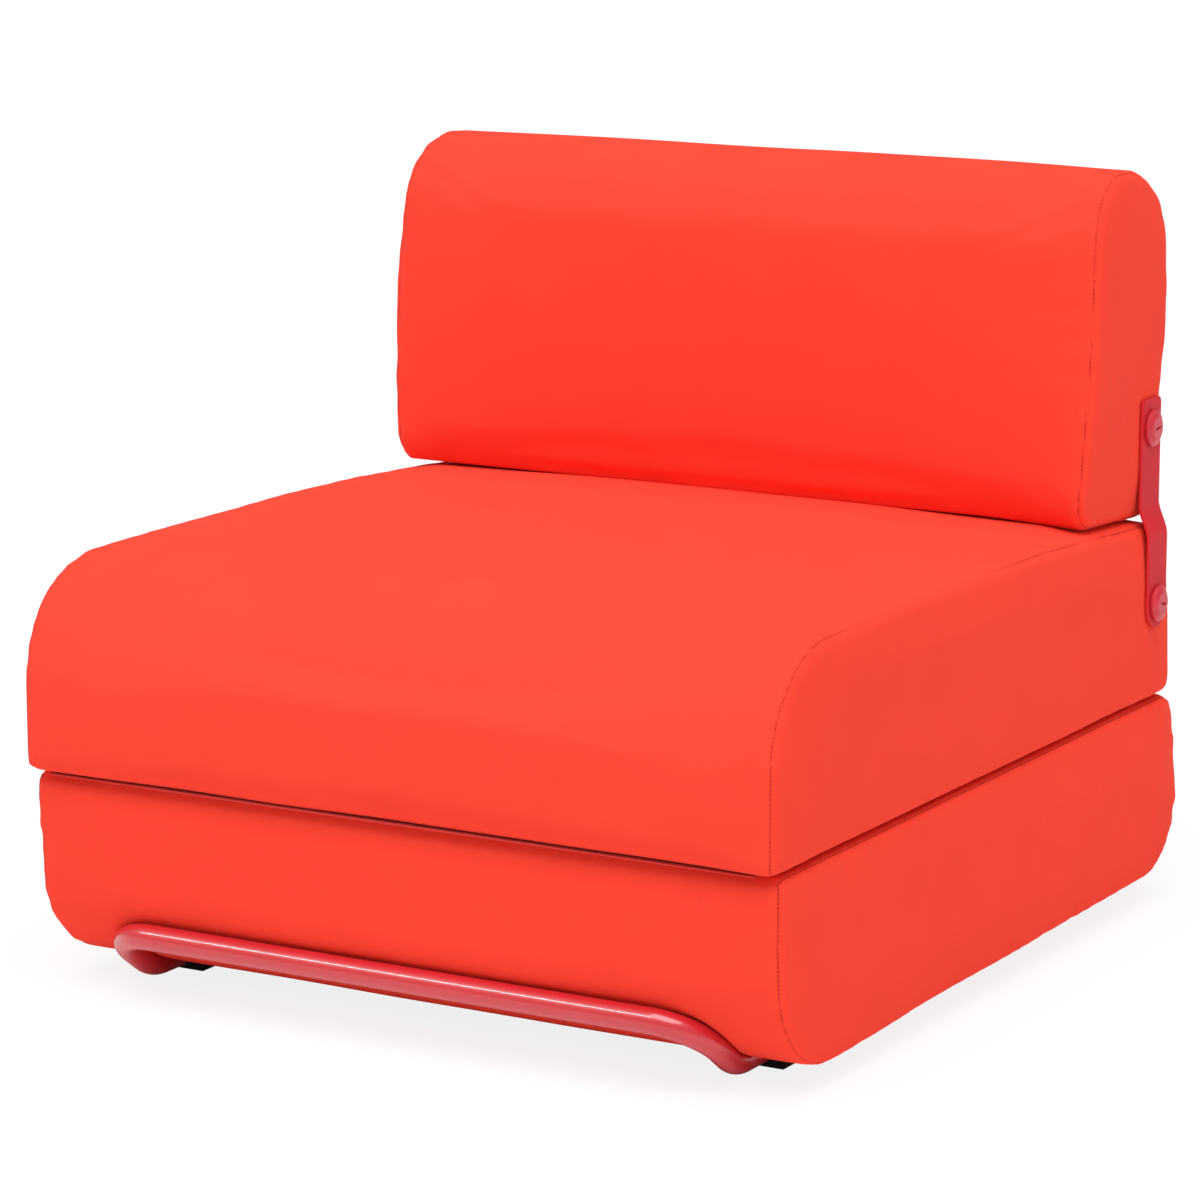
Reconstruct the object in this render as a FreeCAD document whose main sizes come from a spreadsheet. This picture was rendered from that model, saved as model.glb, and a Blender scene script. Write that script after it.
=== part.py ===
import FreeCAD, Part
import math
import os
import Sketcher

# A convertible chair bed: a low foam chair whose seat cushion folds forward on a fabric hinge
# while the back cushion swings out behind it on two studded straps, making one long bed.
# Millimetres, +Z up, +X to the right seen from the front, -Y towards the sitter's feet.
# The origin lies on the floor under the middle of the chair.

doc = FreeCAD.newDocument("convertible_chair_bed")

# Driving dimensions: name, value, meaning

SIZES = [
    ("seam_height", 217, "fold seam between base and seat, above the floor"),
    ("seam_gap", 2, "slit between the base cover and the seat cover"),
    ("fabric", 2, "thickness of a padded cover at its seams, where it is thinnest"),
    ("foam_ease", 0.3, "slack between a cover and its foam block"),
    ("band_flat", 0.2, "share of the half width over which a cushion is at its fullest"),
    ("round_limit", 0.48, "largest corner radius, against the cushion's depth there"),
    ("band_turn", 0.6, "share of the half width where its fullness turns down"),
    ("panel_scale", 0.9, "flat middle of a side panel, against the outline at its seam"),
    ("base_front_low", -430, "base front face at its lower corner"),
    ("base_front_high", -433, "base front face at the fold seam"),
    ("base_rear_low", 449.6, "base rear face at its lower corner"),
    ("base_rear_high", 434, "base rear face at the fold seam"),
    ("base_round_front_low", 110, "base corner radius, front bottom"),
    ("base_round_rear_low", 77, "base corner radius, rear bottom"),
    ("base_round_rear_high", 20, "base corner radius, rear top"),
    ("base_round_front_high", 10, "base corner radius, front top"),
    ("base_bulge_front", 1500, "radius of the base front face's crown"),
    ("base_bulge_rear", 600, "radius of the base rear face's crown"),
    ("base_swell_front", 6, "extra fullness of the base front halfway across"),
    ("base_swell_rear", 6, "extra fullness of the base rear halfway across"),
    ("half_width", 401, "half the width of base and seat between their side panels' seams"),
    ("base_puff", 9, "how far the base side panels stand out beyond their seams"),
    ("seat_front_low", 16, "seat front ahead of the base's, at the fold seam"),
    ("seat_front_high", 16, "seat front ahead of the base's, at its upper corner"),
    ("seat_rear_low", 10, "seat rear ahead of the base's, at the fold seam"),
    ("seat_rear_high", 24, "seat rear ahead of the base's, at its upper corner"),
    ("seat_top_front", 200, "seat top behind the front corner, above the fold seam"),
    ("seat_top_rear", 186, "seat top at the rear corner, above the fold seam"),
    ("seat_top_shoulder", 8.1, "seat shoulder over a line from the front to the rear top"),
    ("seat_shoulder_place", 110, "how far behind the origin the shoulder stands"),
    ("seat_round_front_low", 14, "seat corner radius, front bottom"),
    ("seat_round_rear_low", 14, "seat corner radius, rear bottom"),
    ("seat_round_rear_high", 55, "seat corner radius, rear top"),
    ("seat_round_shoulder", 400, "radius of the seat's shoulder"),
    ("seat_round_front_high", 110, "seat corner radius, front top"),
    ("seat_bulge_front", 1500, "radius of the seat front face's crown"),
    ("seat_bulge_rear", 900, "radius of the seat rear face's crown"),
    ("seat_bulge_top", 12000, "radius of the seat top's crown, front to back"),
    ("seat_swell_front", 6, "extra fullness of the seat front halfway across"),
    ("seat_swell_rear", 6, "extra fullness of the seat rear halfway across"),
    ("seat_swell_top", 12, "extra height of the seat top's front halfway across"),
    ("seat_swell_shoulder", 8.9, "extra rise of the shoulder over that line halfway across"),
    ("seat_swell_under", 6, "extra height under the back cushion halfway across"),
    ("seat_puff", 9, "how far the seat side panels stand out beyond their seams"),
    ("back_lift", 0.25, "back cushion above the seat's crown, at its own front edge"),
    ("back_rear_low", 29, "back cushion's rear ahead of the seat's, at its lower corner"),
    ("back_rear_high", 28, "back cushion's rear ahead of the seat's, at its upper corner"),
    ("back_deep_low", 192, "depth of the back cushion at its lower corners"),
    ("back_deep_high", 171, "depth of the back cushion at its upper corners"),
    ("back_tall_front", 336, "height of the back cushion at its front top corner"),
    ("back_tall_rear", 335, "height of the back cushion at its rear top corner"),
    ("back_round_front_low", 35, "back corner radius, front bottom"),
    ("back_round_rear_low", 45, "back corner radius, rear bottom"),
    ("back_round_rear_high", 78, "back corner radius, rear top"),
    ("back_round_front_high", 75, "back corner radius, front top"),
    ("back_bulge_front", 2500, "radius of the back's front crown"),
    ("back_bulge_rear", 3000, "radius of the back's rear crown"),
    ("back_swell_front", 8, "extra fullness of the back's front halfway across"),
    ("back_swell_rear", 4, "extra fullness of the back's rear halfway across"),
    ("back_swell_top", 4, "extra height of the back's top halfway across"),
    ("back_narrower", 8, "back cushion's side seams inside the seat's"),
    ("back_puff", 7, "how far the back side panels stand out beyond their seams"),
    ("hinge_reach", 9.5, "fold axis in front of the base cover, halfway across"),
    ("hinge_thick", 1.4, "thickness of the fabric hinge between base and seat"),
    ("hinge_depth", 48, "width of the fabric hinge, front to back"),
    ("hinge_end", 21, "ends of the fabric hinge inside the side seams"),
    ("tube_radius", 12.5, "outside radius of the frame tube"),
    ("tube_wall", 1.5, "wall of the frame tube at its open ends"),
    ("tube_bend", 50, "centreline radius of the tube bends"),
    ("floor_clear", 6, "frame tube above the floor"),
    ("tube_seat", 0.5, "slack between the frame tube and the base cover"),
    ("bar_reach", 2, "front bar's centre ahead of the base's front face"),
    ("bar_height", 69, "front bar's centre above the floor"),
    ("rail_place", 81, "runner tubes' centres inside the base's side seams"),
    ("rail_front", 69, "corner where a runner turns up, behind the front bar"),
    ("rail_rear", 57.6, "rear end of the runner tubes inside the base's rear face"),
    ("cross_front", 153, "front cross tube behind the runners' front corners"),
    ("cross_rear", 92, "rear cross tube ahead of the runners' rear ends"),
    ("weld_gap", 0.1, "root gap at the coped ends of the cross tubes"),
    ("plug_depth", 18, "how far an end plug reaches into the tube"),
    ("plug_ease", 0.1, "slack of an end plug in the tube"),
    ("plug_flange", 3, "thickness of an end plug's head"),
    ("foot_front", 65, "front glides' centres ahead of the front cross tube"),
    ("foot_rear", 50, "rear glides' centres behind the rear cross tube"),
    ("foot_width", 44, "width of a glide"),
    ("foot_length", 62, "length of a glide along its runner"),
    ("foot_height", 17, "height of a glide's cheeks"),
    ("foot_chamfer", 2, "chamfer round the sole of a glide"),
    ("foot_ease", 0.1, "slack between a glide and its runner"),
    ("panel_thick", 12, "thickness of the plywood panel in the base"),
    ("panel_border", 27, "plywood panel inside the base cover's side panels"),
    ("panel_front", 80, "plywood panel ahead of the front cross tube"),
    ("panel_rear", 62, "plywood panel behind the rear cross tube"),
    ("panel_ease", 0.3, "slack between the panel and what surrounds it"),
    ("bolt_place", 130, "frame bolts inside the runner tubes"),
    ("bolt_radius", 4, "radius of the frame bolts"),
    ("bolt_head_across", 15, "corner to corner size of a frame bolt's head"),
    ("bolt_head", 3.4, "height of a frame bolt's head"),
    ("bolt_ease", 0.2, "radial slack of a frame bolt in its holes"),
    ("insert_across", 14, "corner to corner size of a threaded insert in the panel"),
    ("insert_ease", 0.1, "slack of a threaded insert in its socket"),
    ("strap_place", 39, "straps' centre line ahead of the back cushion's lower rear face"),
    ("stud_low", 106, "lower studs above the fold seam"),
    ("stud_high", 78, "upper studs above the back cushion's underside"),
    ("strap_width", 46, "width of a strap"),
    ("strap_thick", 3.5, "thickness of a strap"),
    ("strap_clear", 0.5, "a strap's inner face off the fullest of the side panel"),
    ("strap_end_low", 25, "strap beyond the lower stud"),
    ("strap_end_high", 30, "strap beyond the upper stud"),
    ("strap_corner", 7, "corner radius of a strap's upper end"),
    ("strap_tip", 0.2, "width of the flat left at the tip of a strap's round lower end"),
    ("strap_bend_low", 7, "lower bend of a strap below the seat's rear top"),
    ("strap_bend_high", 4, "upper bend of a strap below the back cushion's underside"),
    ("strap_bend_round", 24, "radius of a strap's bends"),
    ("stud_head_radius", 18.5, "radius of a stud's head"),
    ("stud_rim", 3.2, "height of a stud head's rim"),
    ("stud_dome", 3.4, "rise of a stud head's bevel over its rim"),
    ("stud_bevel", 7, "width of the bevel round a stud's head"),
    ("stud_face_gap", 0.3, "slack between a stud's head and its strap"),
    ("stud_shank", 4.5, "radius of a stud's shank"),
    ("stud_ease", 0.25, "radial slack of a shank in its strap and plate"),
    ("slot_length", 13, "length of the slot in a stud's head"),
    ("slot_width", 2.4, "width of the slot in a stud's head"),
    ("slot_depth", 1.6, "depth of the slot in a stud's head"),
    ("plate_half", 20, "half the side of the square plate that anchors a stud"),
    ("plate_thick", 4, "thickness of the plate that anchors a stud"),
    ("plate_sink", 0.5, "anchor plate inside the cover's side seam"),
    ("nut_across", 15, "corner to corner size of a stud's nut"),
    ("nut_thick", 6.5, "thickness of a stud's nut"),
    ("shank_proud", 2, "a shank's end beyond its nut"),
]

VALUE_COLUMN = "B"
NAME_COLUMN = "A"
NOTE_COLUMN = "C"

sheet = doc.addObject("Spreadsheet::Sheet", "sizes")
for row, (alias, number, note) in enumerate(SIZES, start=1):
    sheet.set(f"{NAME_COLUMN}{row}", alias)
    sheet.set(f"{VALUE_COLUMN}{row}", str(number))
    sheet.set(f"{NOTE_COLUMN}{row}", note)
    sheet.setAlias(f"{VALUE_COLUMN}{row}", alias)
doc.recompute()


class Size:
    """A length that keeps its number together with the sheet expression it comes from."""

    def __init__(self, number, text=None):
        self.number = float(number)
        self.text = text if text else f"({float(number)!r})"

    def joined(self, other, sign, number):
        return Size(number, f"({self.text} {sign} {as_size(other).text})")

    def __add__(self, other):
        return self.joined(other, "+", self.number + as_size(other).number)

    def __sub__(self, other):
        return self.joined(other, "-", self.number - as_size(other).number)

    def __mul__(self, other):
        return self.joined(other, "*", self.number * as_size(other).number)

    def __truediv__(self, other):
        return self.joined(other, "/", self.number / as_size(other).number)

    def __neg__(self):
        return Size(-self.number, f"(0 - {self.text})")


def as_size(value):
    return value if isinstance(value, Size) else Size(value)


def least(one, other):
    return Size(min(one.number, other.number), f"min({one.text}; {other.text})")


def size(alias):
    return Size(float(getattr(sheet, alias)), f"{sheet.Name}.{alias}")


def bind(target, prop, value):
    target.setExpression(prop, as_size(value).text)


def place(target, x=0, y=0, z=0):
    bind(target, "Placement.Base.x", x)
    bind(target, "Placement.Base.y", y)
    bind(target, "Placement.Base.z", z)


# Shared places worked out from the driving dimensions

RAIL_HEIGHT = size("floor_clear") + size("tube_radius")
BASE_BOTTOM = RAIL_HEIGHT + size("tube_radius") + size("tube_seat")
BASE_TOP = size("seam_height") - size("seam_gap") / 2
SEAT_BOTTOM = size("seam_height") + size("seam_gap") / 2
PANEL_BOTTOM = BASE_BOTTOM + size("fabric") + size("panel_ease")
PANEL_TOP = PANEL_BOTTOM + size("panel_thick")
PANEL_HALF_WIDTH = size("half_width") - size("fabric") - size("panel_border")
RAIL_PLACE = size("half_width") - size("rail_place")
BOLT_PLACE = RAIL_PLACE - size("bolt_place")
FOLD_AXIS = size("base_front_high") - size("base_swell_front") - size("hinge_reach")

BAR_PLACE = size("base_front_low") - size("bar_reach")
RAIL_FRONT = BAR_PLACE + size("rail_front")
RAIL_REAR = size("base_rear_low") - size("rail_rear")
CROSS_FRONT = RAIL_FRONT + size("cross_front")
CROSS_REAR = RAIL_REAR - size("cross_rear")

SEAT_FRONT_LOW = size("base_front_high") - size("seat_front_low")
SEAT_FRONT_HIGH = size("base_front_high") - size("seat_front_high")
SEAT_REAR_LOW = size("base_rear_high") - size("seat_rear_low")
SEAT_REAR_HIGH = size("base_rear_high") - size("seat_rear_high")
SEAT_TOP_FRONT = size("seam_height") + size("seat_top_front")
SEAT_TOP_REAR = size("seam_height") + size("seat_top_rear")

BACK_REAR_LOW = SEAT_REAR_LOW - size("back_rear_low")
BACK_REAR_HIGH = SEAT_REAR_LOW - size("back_rear_high")
BACK_FRONT_LOW = BACK_REAR_LOW - size("back_deep_low")
BACK_FRONT_HIGH = BACK_REAR_HIGH - size("back_deep_high")
BACK_HALF_WIDTH = size("half_width") - size("back_narrower")
STRAP_PLACE = BACK_REAR_LOW - size("strap_place")


def seat_line(place, front_height, rear_height):
    """Height at a place of the straight line between two heights of the seat's top."""
    share = (place - SEAT_FRONT_HIGH) / (SEAT_REAR_HIGH - SEAT_FRONT_HIGH)
    return front_height + (rear_height - front_height) * share


def seat_crown_behind_shoulder(place):
    """Height of the seat's fullest line behind its shoulder, at a place under the back."""
    front = SEAT_TOP_FRONT + size("seat_swell_top")
    rear = SEAT_TOP_REAR + size("seat_swell_under")
    rise = size("seat_top_shoulder") + size("seat_swell_shoulder")
    behind = (SEAT_REAR_HIGH - place) / (SEAT_REAR_HIGH - size("seat_shoulder_place"))
    return seat_line(place, front, rear) + rise * behind


BACK_EDGE = BACK_FRONT_LOW + size("back_round_front_low")
BACK_BOTTOM = seat_crown_behind_shoulder(BACK_EDGE) + size("back_lift")
STUD_LOW = size("seam_height") + size("stud_low")
STUD_HIGH = BACK_BOTTOM + size("stud_high")

SIDES = (("left", -1), ("right", 1))
AXIS_TURN = {
    "x": FreeCAD.Rotation(FreeCAD.Vector(0, 1, 0), 90),
    "y": FreeCAD.Rotation(FreeCAD.Vector(1, 0, 0), -90),
    "z": FreeCAD.Rotation(),
}

nodes = []


def node(part, label):
    """Marks a finished piece of the chair and gives it its name."""
    part.Label = label
    nodes.append(part)
    return part


# Building blocks


def box(name, low, high):
    block = doc.addObject("Part::Box", name)
    for prop, start, end in zip(("Length", "Width", "Height"), low, high):
        bind(block, prop, as_size(end) - start)
    place(block, *low)
    return block


def cylinder(name, radius, start, length, axis):
    """A round bar that runs from its start point along an axis of the chair."""
    bar = doc.addObject("Part::Cylinder", name)
    bar.Placement = FreeCAD.Placement(FreeCAD.Vector(), AXIS_TURN[axis])
    bind(bar, "Radius", radius)
    bind(bar, "Height", length)
    place(bar, *start)
    return bar


def cut(name, base, *tools):
    tool = tools[0]
    if len(tools) > 1:
        tool = doc.addObject("Part::MultiFuse", f"{name}_tools")
        tool.Shapes = list(tools)
    result = doc.addObject("Part::Cut", name)
    result.Base = base
    result.Tool = tool
    return result


def common(name, base, tool):
    result = doc.addObject("Part::Common", name)
    result.Base = base
    result.Tool = tool
    return result


def fuse(name, *parts):
    result = doc.addObject("Part::MultiFuse", name)
    result.Shapes = list(parts)
    return result


def group(name, parts):
    """Separate solids that share one name, such as four equal bolts."""
    result = doc.addObject("Part::Compound", name)
    result.Links = list(parts)
    return result


def plane_of(body, role):
    return next(plane for plane in body.Origin.OriginFeatures if plane.Role == role)


def sketch_on(body, role, name, offset=0):
    """A sketch on one of the body's own planes, moved along the plane's normal."""
    sketch = body.newObject("Sketcher::SketchObject", name)
    sketch.AttachmentSupport = [(plane_of(body, role), "")]
    sketch.MapMode = "FlatFace"
    bind(sketch, "AttachmentOffset.Base.z", offset)
    return sketch


def fix(sketch, kind, *where, to):
    """Adds a dimension to a sketch and ties it to the sheet."""
    number = sketch.addConstraint(Sketcher.Constraint(kind, *where, as_size(to).number))
    bind(sketch, f"Constraints[{number}]", to)


def pin(sketch, geometry, position, point):
    """Fixes one point of a sketch at a pair of sizes from the sketch's origin."""
    fix(sketch, "DistanceX", -1, 1, geometry, position, to=point[0])
    fix(sketch, "DistanceY", -1, 1, geometry, position, to=point[1])


def polygon(sketch, points):
    """A closed outline of straight runs through dimensioned points."""
    vectors = [FreeCAD.Vector(as_size(u).number, as_size(v).number, 0) for u, v in points]
    first = sketch.GeometryCount
    count = len(points)
    for index in range(count):
        sketch.addGeometry(Part.LineSegment(vectors[index], vectors[(index + 1) % count]))
    for index in range(count):
        follower = first + (index + 1) % count
        sketch.addConstraint(Sketcher.Constraint("Coincident", first + index, 2, follower, 1))
    for index in range(count):
        pin(sketch, first + index, 1, points[index])


def circle(sketch, centre, radius):
    point = FreeCAD.Vector(as_size(centre[0]).number, as_size(centre[1]).number, 0)
    ring = sketch.addGeometry(Part.Circle(point, FreeCAD.Vector(0, 0, 1), radius.number))
    pin(sketch, ring, 3, centre)
    fix(sketch, "Radius", ring, to=radius)


def pad(body, sketch, length, midplane=False):
    feature = body.newObject("PartDesign::Pad", f"{sketch.Name}_pad")
    feature.Profile = sketch
    feature.Midplane = midplane
    bind(feature, "Length", length)
    return feature


# Cushions: every outline is a ring of round corners joined by crowned faces


class Corner:
    """A round corner of a cushion outline, with the crown of the face that follows it."""

    def __init__(self, y, z, radius, crown=None):
        self.y = y
        self.z = z
        self.radius = radius
        self.crown = crown

    def numbers(self):
        return self.y.number, self.z.number, self.radius.number


def arc_between(centre, radius, start, end):
    """The counter-clockwise arc from one point to another round a centre."""
    first = math.atan2(start[1] - centre[1], start[0] - centre[0])
    last = math.atan2(end[1] - centre[1], end[0] - centre[0])
    if last < first:
        last += 2 * math.pi
    ring = Part.Circle(FreeCAD.Vector(*centre, 0), FreeCAD.Vector(0, 0, 1), radius)
    return Part.ArcOfCircle(ring, first, last)


def straight_face(here, there):
    """Ends of the line that touches two corner circles on their outer side."""
    run = math.hypot(there[0] - here[0], there[1] - here[1])
    along = ((there[0] - here[0]) / run, (there[1] - here[1]) / run)
    lean = (here[2] - there[2]) / run
    level = math.sqrt(1 - lean * lean)
    normal = (along[1] * level + along[0] * lean, -along[0] * level + along[1] * lean)
    start = (here[0] + here[2] * normal[0], here[1] + here[2] * normal[1])
    end = (there[0] + there[2] * normal[0], there[1] + there[2] * normal[1])
    return start, end, None


def crowned_face(here, there, crown):
    """Ends and centre of the arc that touches two corner circles from outside."""
    run = math.hypot(there[0] - here[0], there[1] - here[1])
    along = ((there[0] - here[0]) / run, (there[1] - here[1]) / run)
    reach_here = crown - here[2]
    reach_there = crown - there[2]
    foot = (reach_here ** 2 - reach_there ** 2 + run ** 2) / (2 * run)
    inward = math.sqrt(reach_here ** 2 - foot ** 2)
    centre = (
        here[0] + along[0] * foot - along[1] * inward,
        here[1] + along[1] * foot + along[0] * inward,
    )
    grow_here = crown / reach_here
    grow_there = crown / reach_there
    start = tuple(c + (p - c) * grow_here for c, p in zip(centre, here))
    end = tuple(c + (p - c) * grow_there for c, p in zip(centre, there))
    return start, end, centre


def cushion_outline(sketch, corners, inset, scale, centre):
    """Draws one cross-section, pulled in evenly by the inset, then shrunk about a centre."""
    rings = []
    for corner in corners:
        rings.append(
            Corner(
                centre[0] + (corner.y - centre[0]) * scale,
                centre[1] + (corner.z - centre[1]) * scale,
                (corner.radius - inset) * scale,
                (corner.crown - inset) * scale if corner.crown else None,
            )
        )
    count = len(rings)
    faces = []
    for index, corner in enumerate(rings):
        here = corner.numbers()
        there = rings[(index + 1) % count].numbers()
        if corner.crown:
            faces.append(crowned_face(here, there, corner.crown.number))
        else:
            faces.append(straight_face(here, there))
    for index, corner in enumerate(rings):
        y, z, radius = corner.numbers()
        start, end, middle = faces[index]
        sketch.addGeometry(arc_between((y, z), radius, faces[index - 1][1], start))
        if middle:
            sketch.addGeometry(arc_between(middle, corner.crown.number, start, end))
        else:
            sketch.addGeometry(
                Part.LineSegment(FreeCAD.Vector(*start, 0), FreeCAD.Vector(*end, 0))
            )
    for index in range(2 * count):
        follower = (index + 1) % (2 * count)
        sketch.addConstraint(Sketcher.Constraint("Tangent", index, 2, follower, 1))
    for index, corner in enumerate(rings):
        pin(sketch, 2 * index, 3, (corner.y, corner.z))
        fix(sketch, "Radius", 2 * index, to=corner.radius)
        if corner.crown:
            fix(sketch, "Radius", 2 * index + 1, to=corner.crown)


def band_stations(form):
    """Cross-sections from the middle of a cushion out to the flat of its side panel.

    Each is a distance from the middle, a share of the full swell and a scale. The swell
    falls off as a parabola towards the seam, and past it the panel rises to its flat.
    """
    one = Size(1)
    shares = (size("band_flat"), size("band_turn"))
    stations = [(form.half_width * share, one - share * share, one) for share in shares]
    stations.append((form.half_width, Size(0), one))
    stations.append((form.half_width + form.puff, Size(0), size("panel_scale")))
    return stations


def cushion_skin(form):
    """The outside of a cover: outlines ruled together from side panel to side panel."""
    body = doc.addObject("PartDesign::Body", f"{form.name}_outside_body")
    right = band_stations(form)
    left = [(-reach, share, scale) for reach, share, scale in reversed(right)]
    sections = []
    for number, (reach, share, scale) in enumerate(left + right):
        sketch = sketch_on(body, "YZ_Plane", f"{form.name}_outside_section_{number}", reach)
        cushion_outline(sketch, form.corners(share), Size(0), scale, form.centre)
        sections.append(sketch)
    loft = body.newObject("PartDesign::AdditiveLoft", f"{form.name}_outside_loft")
    loft.Profile = sections[0]
    loft.Sections = sections[1:]
    loft.Ruled = True
    return body


def straight_block(name, form, inset):
    """A block of one outline that ends at the seams, smaller all round by the inset."""
    body = doc.addObject("PartDesign::Body", f"{name}_body")
    sketch = sketch_on(body, "YZ_Plane", f"{name}_outline")
    cushion_outline(sketch, form.corners(Size(0)), inset, Size(1), form.centre)
    pad(body, sketch, (form.half_width - inset) * 2, midplane=True)
    return body


def cushion(form, cover_cuts, foam_cuts):
    """A padded cover round its foam block: thin at the seams, full at the crown."""
    name = form.name
    fabric = size("fabric")
    cavity = straight_block(f"{name}_cavity", form, fabric)
    block = straight_block(f"{name}_block", form, fabric + size("foam_ease"))
    node(cut(f"{name}_cover_cut", cushion_skin(form), cavity, *cover_cuts), f"{name}_cover")
    node(cut(f"{name}_foam_cut", block, *foam_cuts), f"{name}_foam")


class Form:
    """The outline of a cushion and how it swells towards the middle of the chair.

    Fronts, rears and tops are pairs: faces give their lower and upper corner, tops give a
    height and its extra height halfway across. A shoulder is the rise of one more corner
    over the line between the tops, with its own extra rise.
    """

    def __init__(self, name, half_width, fronts, rears, bottom, top_front, top_rear, shoulder=None):
        self.name = name
        self.half_width = half_width
        self.puff = self.own("puff")
        self.fronts = dict(zip(("low", "high"), fronts))
        self.rears = dict(zip(("low", "high"), rears))
        self.bottom = bottom
        self.top_front = top_front
        self.top_rear = top_rear
        self.shoulder = shoulder
        self.centre = ((fronts[0] + rears[0]) / 2, (bottom + top_front[0]) / 2)

    def own(self, word):
        return size(f"{self.name}_{word}")

    def corner(self, side, level, swell, height, crown=None):
        """A corner whose circle touches a front or rear face and a height."""
        depth = self.rears[level] - self.fronts[level]
        radius = least(self.own(f"round_{side}_{level}"), depth * size("round_limit"))
        inward = radius - swell
        y = self.fronts[level] + inward if side == "front" else self.rears[level] - inward
        z = height + radius if level == "low" else height - radius
        return Corner(y, z, radius, crown)

    def corners(self, share):
        front = self.own("swell_front") * share
        rear = self.own("swell_rear") * share
        top_front = self.top_front[0] + self.top_front[1] * share
        top_rear = self.top_rear[0] + self.top_rear[1] * share
        ring = [
            self.corner("front", "low", front, self.bottom),
            self.corner("rear", "low", rear, self.bottom, self.own("bulge_rear")),
            self.corner("rear", "high", rear, top_rear),
        ]
        if self.shoulder:
            place = self.own("shoulder_place")
            rise = self.shoulder[0] + self.shoulder[1] * share
            radius = self.own("round_shoulder")
            height = seat_line(place, top_front, top_rear) + rise - radius
            ring.append(Corner(place, height, radius, self.own("bulge_top")))
        ring.append(self.corner("front", "high", front, top_front, self.own("bulge_front")))
        return ring


NO_SWELL = Size(0)

BASE_FORM = Form(
    "base",
    size("half_width"),
    (size("base_front_low"), size("base_front_high")),
    (size("base_rear_low"), size("base_rear_high")),
    BASE_BOTTOM,
    (BASE_TOP, NO_SWELL),
    (BASE_TOP, NO_SWELL),
)
SEAT_FORM = Form(
    "seat",
    size("half_width"),
    (SEAT_FRONT_LOW, SEAT_FRONT_HIGH),
    (SEAT_REAR_LOW, SEAT_REAR_HIGH),
    SEAT_BOTTOM,
    (SEAT_TOP_FRONT, size("seat_swell_top")),
    (SEAT_TOP_REAR, size("seat_swell_under")),
    (size("seat_top_shoulder"), size("seat_swell_shoulder")),
)
BACK_FORM = Form(
    "back",
    BACK_HALF_WIDTH,
    (BACK_FRONT_LOW, BACK_FRONT_HIGH),
    (BACK_REAR_LOW, BACK_REAR_HIGH),
    BACK_BOTTOM,
    (BACK_BOTTOM + size("back_tall_front"), size("back_swell_top")),
    (BACK_BOTTOM + size("back_tall_rear"), size("back_swell_top")),
)


# Base cushion on its plywood panel


def cross_tube_places():
    return (("front", CROSS_FRONT), ("rear", CROSS_REAR))


def bolt_spots():
    """Where the frame bolts stand: two on each cross tube."""
    for tag, y in cross_tube_places():
        for side, sign in SIDES:
            yield f"{tag}_{side}", BOLT_PLACE * sign, y


def upright_holes(name, radius, bottom, height):
    return [
        cylinder(f"{name}_{tag}", radius, (x, y, bottom), height, "z")
        for tag, x, y in bolt_spots()
    ]


def prism(name, across, start, length, axis):
    """A hexagonal bar that runs from its start point along an axis of the chair."""
    bar = doc.addObject("Part::Prism", name)
    bar.Polygon = 6
    bind(bar, "Circumradius", across / 2)
    bind(bar, "Height", length)
    bar.Placement = FreeCAD.Placement(FreeCAD.Vector(), AXIS_TURN[axis])
    place(bar, *start)
    return bar


def base_cushion():
    bolt_hole = size("bolt_radius") + size("bolt_ease")
    ease = size("panel_ease")
    half = PANEL_HALF_WIDTH + ease
    front = CROSS_FRONT - size("panel_front") - ease
    rear = CROSS_REAR + size("panel_rear") + ease
    pocket = box(
        "base_panel_pocket", (-half, front, BASE_BOTTOM), (half, rear, PANEL_TOP + ease)
    )
    holes = upright_holes("cover_bolt_hole", bolt_hole, Size(0), PANEL_BOTTOM)
    cushion(BASE_FORM, holes, [pocket])


def base_panel():
    """The plywood panel that stiffens the base, with sockets for its threaded inserts."""
    low = (-PANEL_HALF_WIDTH, CROSS_FRONT - size("panel_front"), PANEL_BOTTOM)
    high = (PANEL_HALF_WIDTH, CROSS_REAR + size("panel_rear"), PANEL_TOP)
    across = size("insert_across") + size("insert_ease") * 2
    thick = size("panel_thick")
    sockets = [
        prism(f"panel_socket_{tag}", across, (x, y, PANEL_BOTTOM), thick, "z")
        for tag, x, y in bolt_spots()
    ]
    node(cut("base_panel_cut", box("base_panel_board", low, high), *sockets), "base_panel")


def frame_fixings():
    """Bolts that hold the base to the cross tubes, and the threaded inserts they meet."""
    bolts = []
    inserts = []
    under = RAIL_HEIGHT - size("tube_radius")
    head = size("bolt_head")
    thick = size("panel_thick")
    for tag, x, y in bolt_spots():
        radius = size("bolt_radius")
        shank = cylinder(f"bolt_shank_{tag}", radius, (x, y, under), PANEL_TOP - under, "z")
        across = size("bolt_head_across")
        bolt_head = prism(f"bolt_head_{tag}", across, (x, y, under - head), head, "z")
        bolts.append(fuse(f"bolt_{tag}", shank, bolt_head))
        start = (x, y, PANEL_BOTTOM)
        blank = prism(f"insert_blank_{tag}", size("insert_across"), start, thick, "z")
        bore_radius = radius + size("bolt_ease") / 2
        bore = cylinder(f"insert_bore_{tag}", bore_radius, start, thick, "z")
        inserts.append(cut(f"insert_{tag}", blank, bore))
    node(group("frame_bolts_group", bolts), "frame_bolts")
    node(group("threaded_inserts_group", inserts), "threaded_inserts")


# Tube frame: one tube bent into a raised front bar, two legs and two runners


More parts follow.
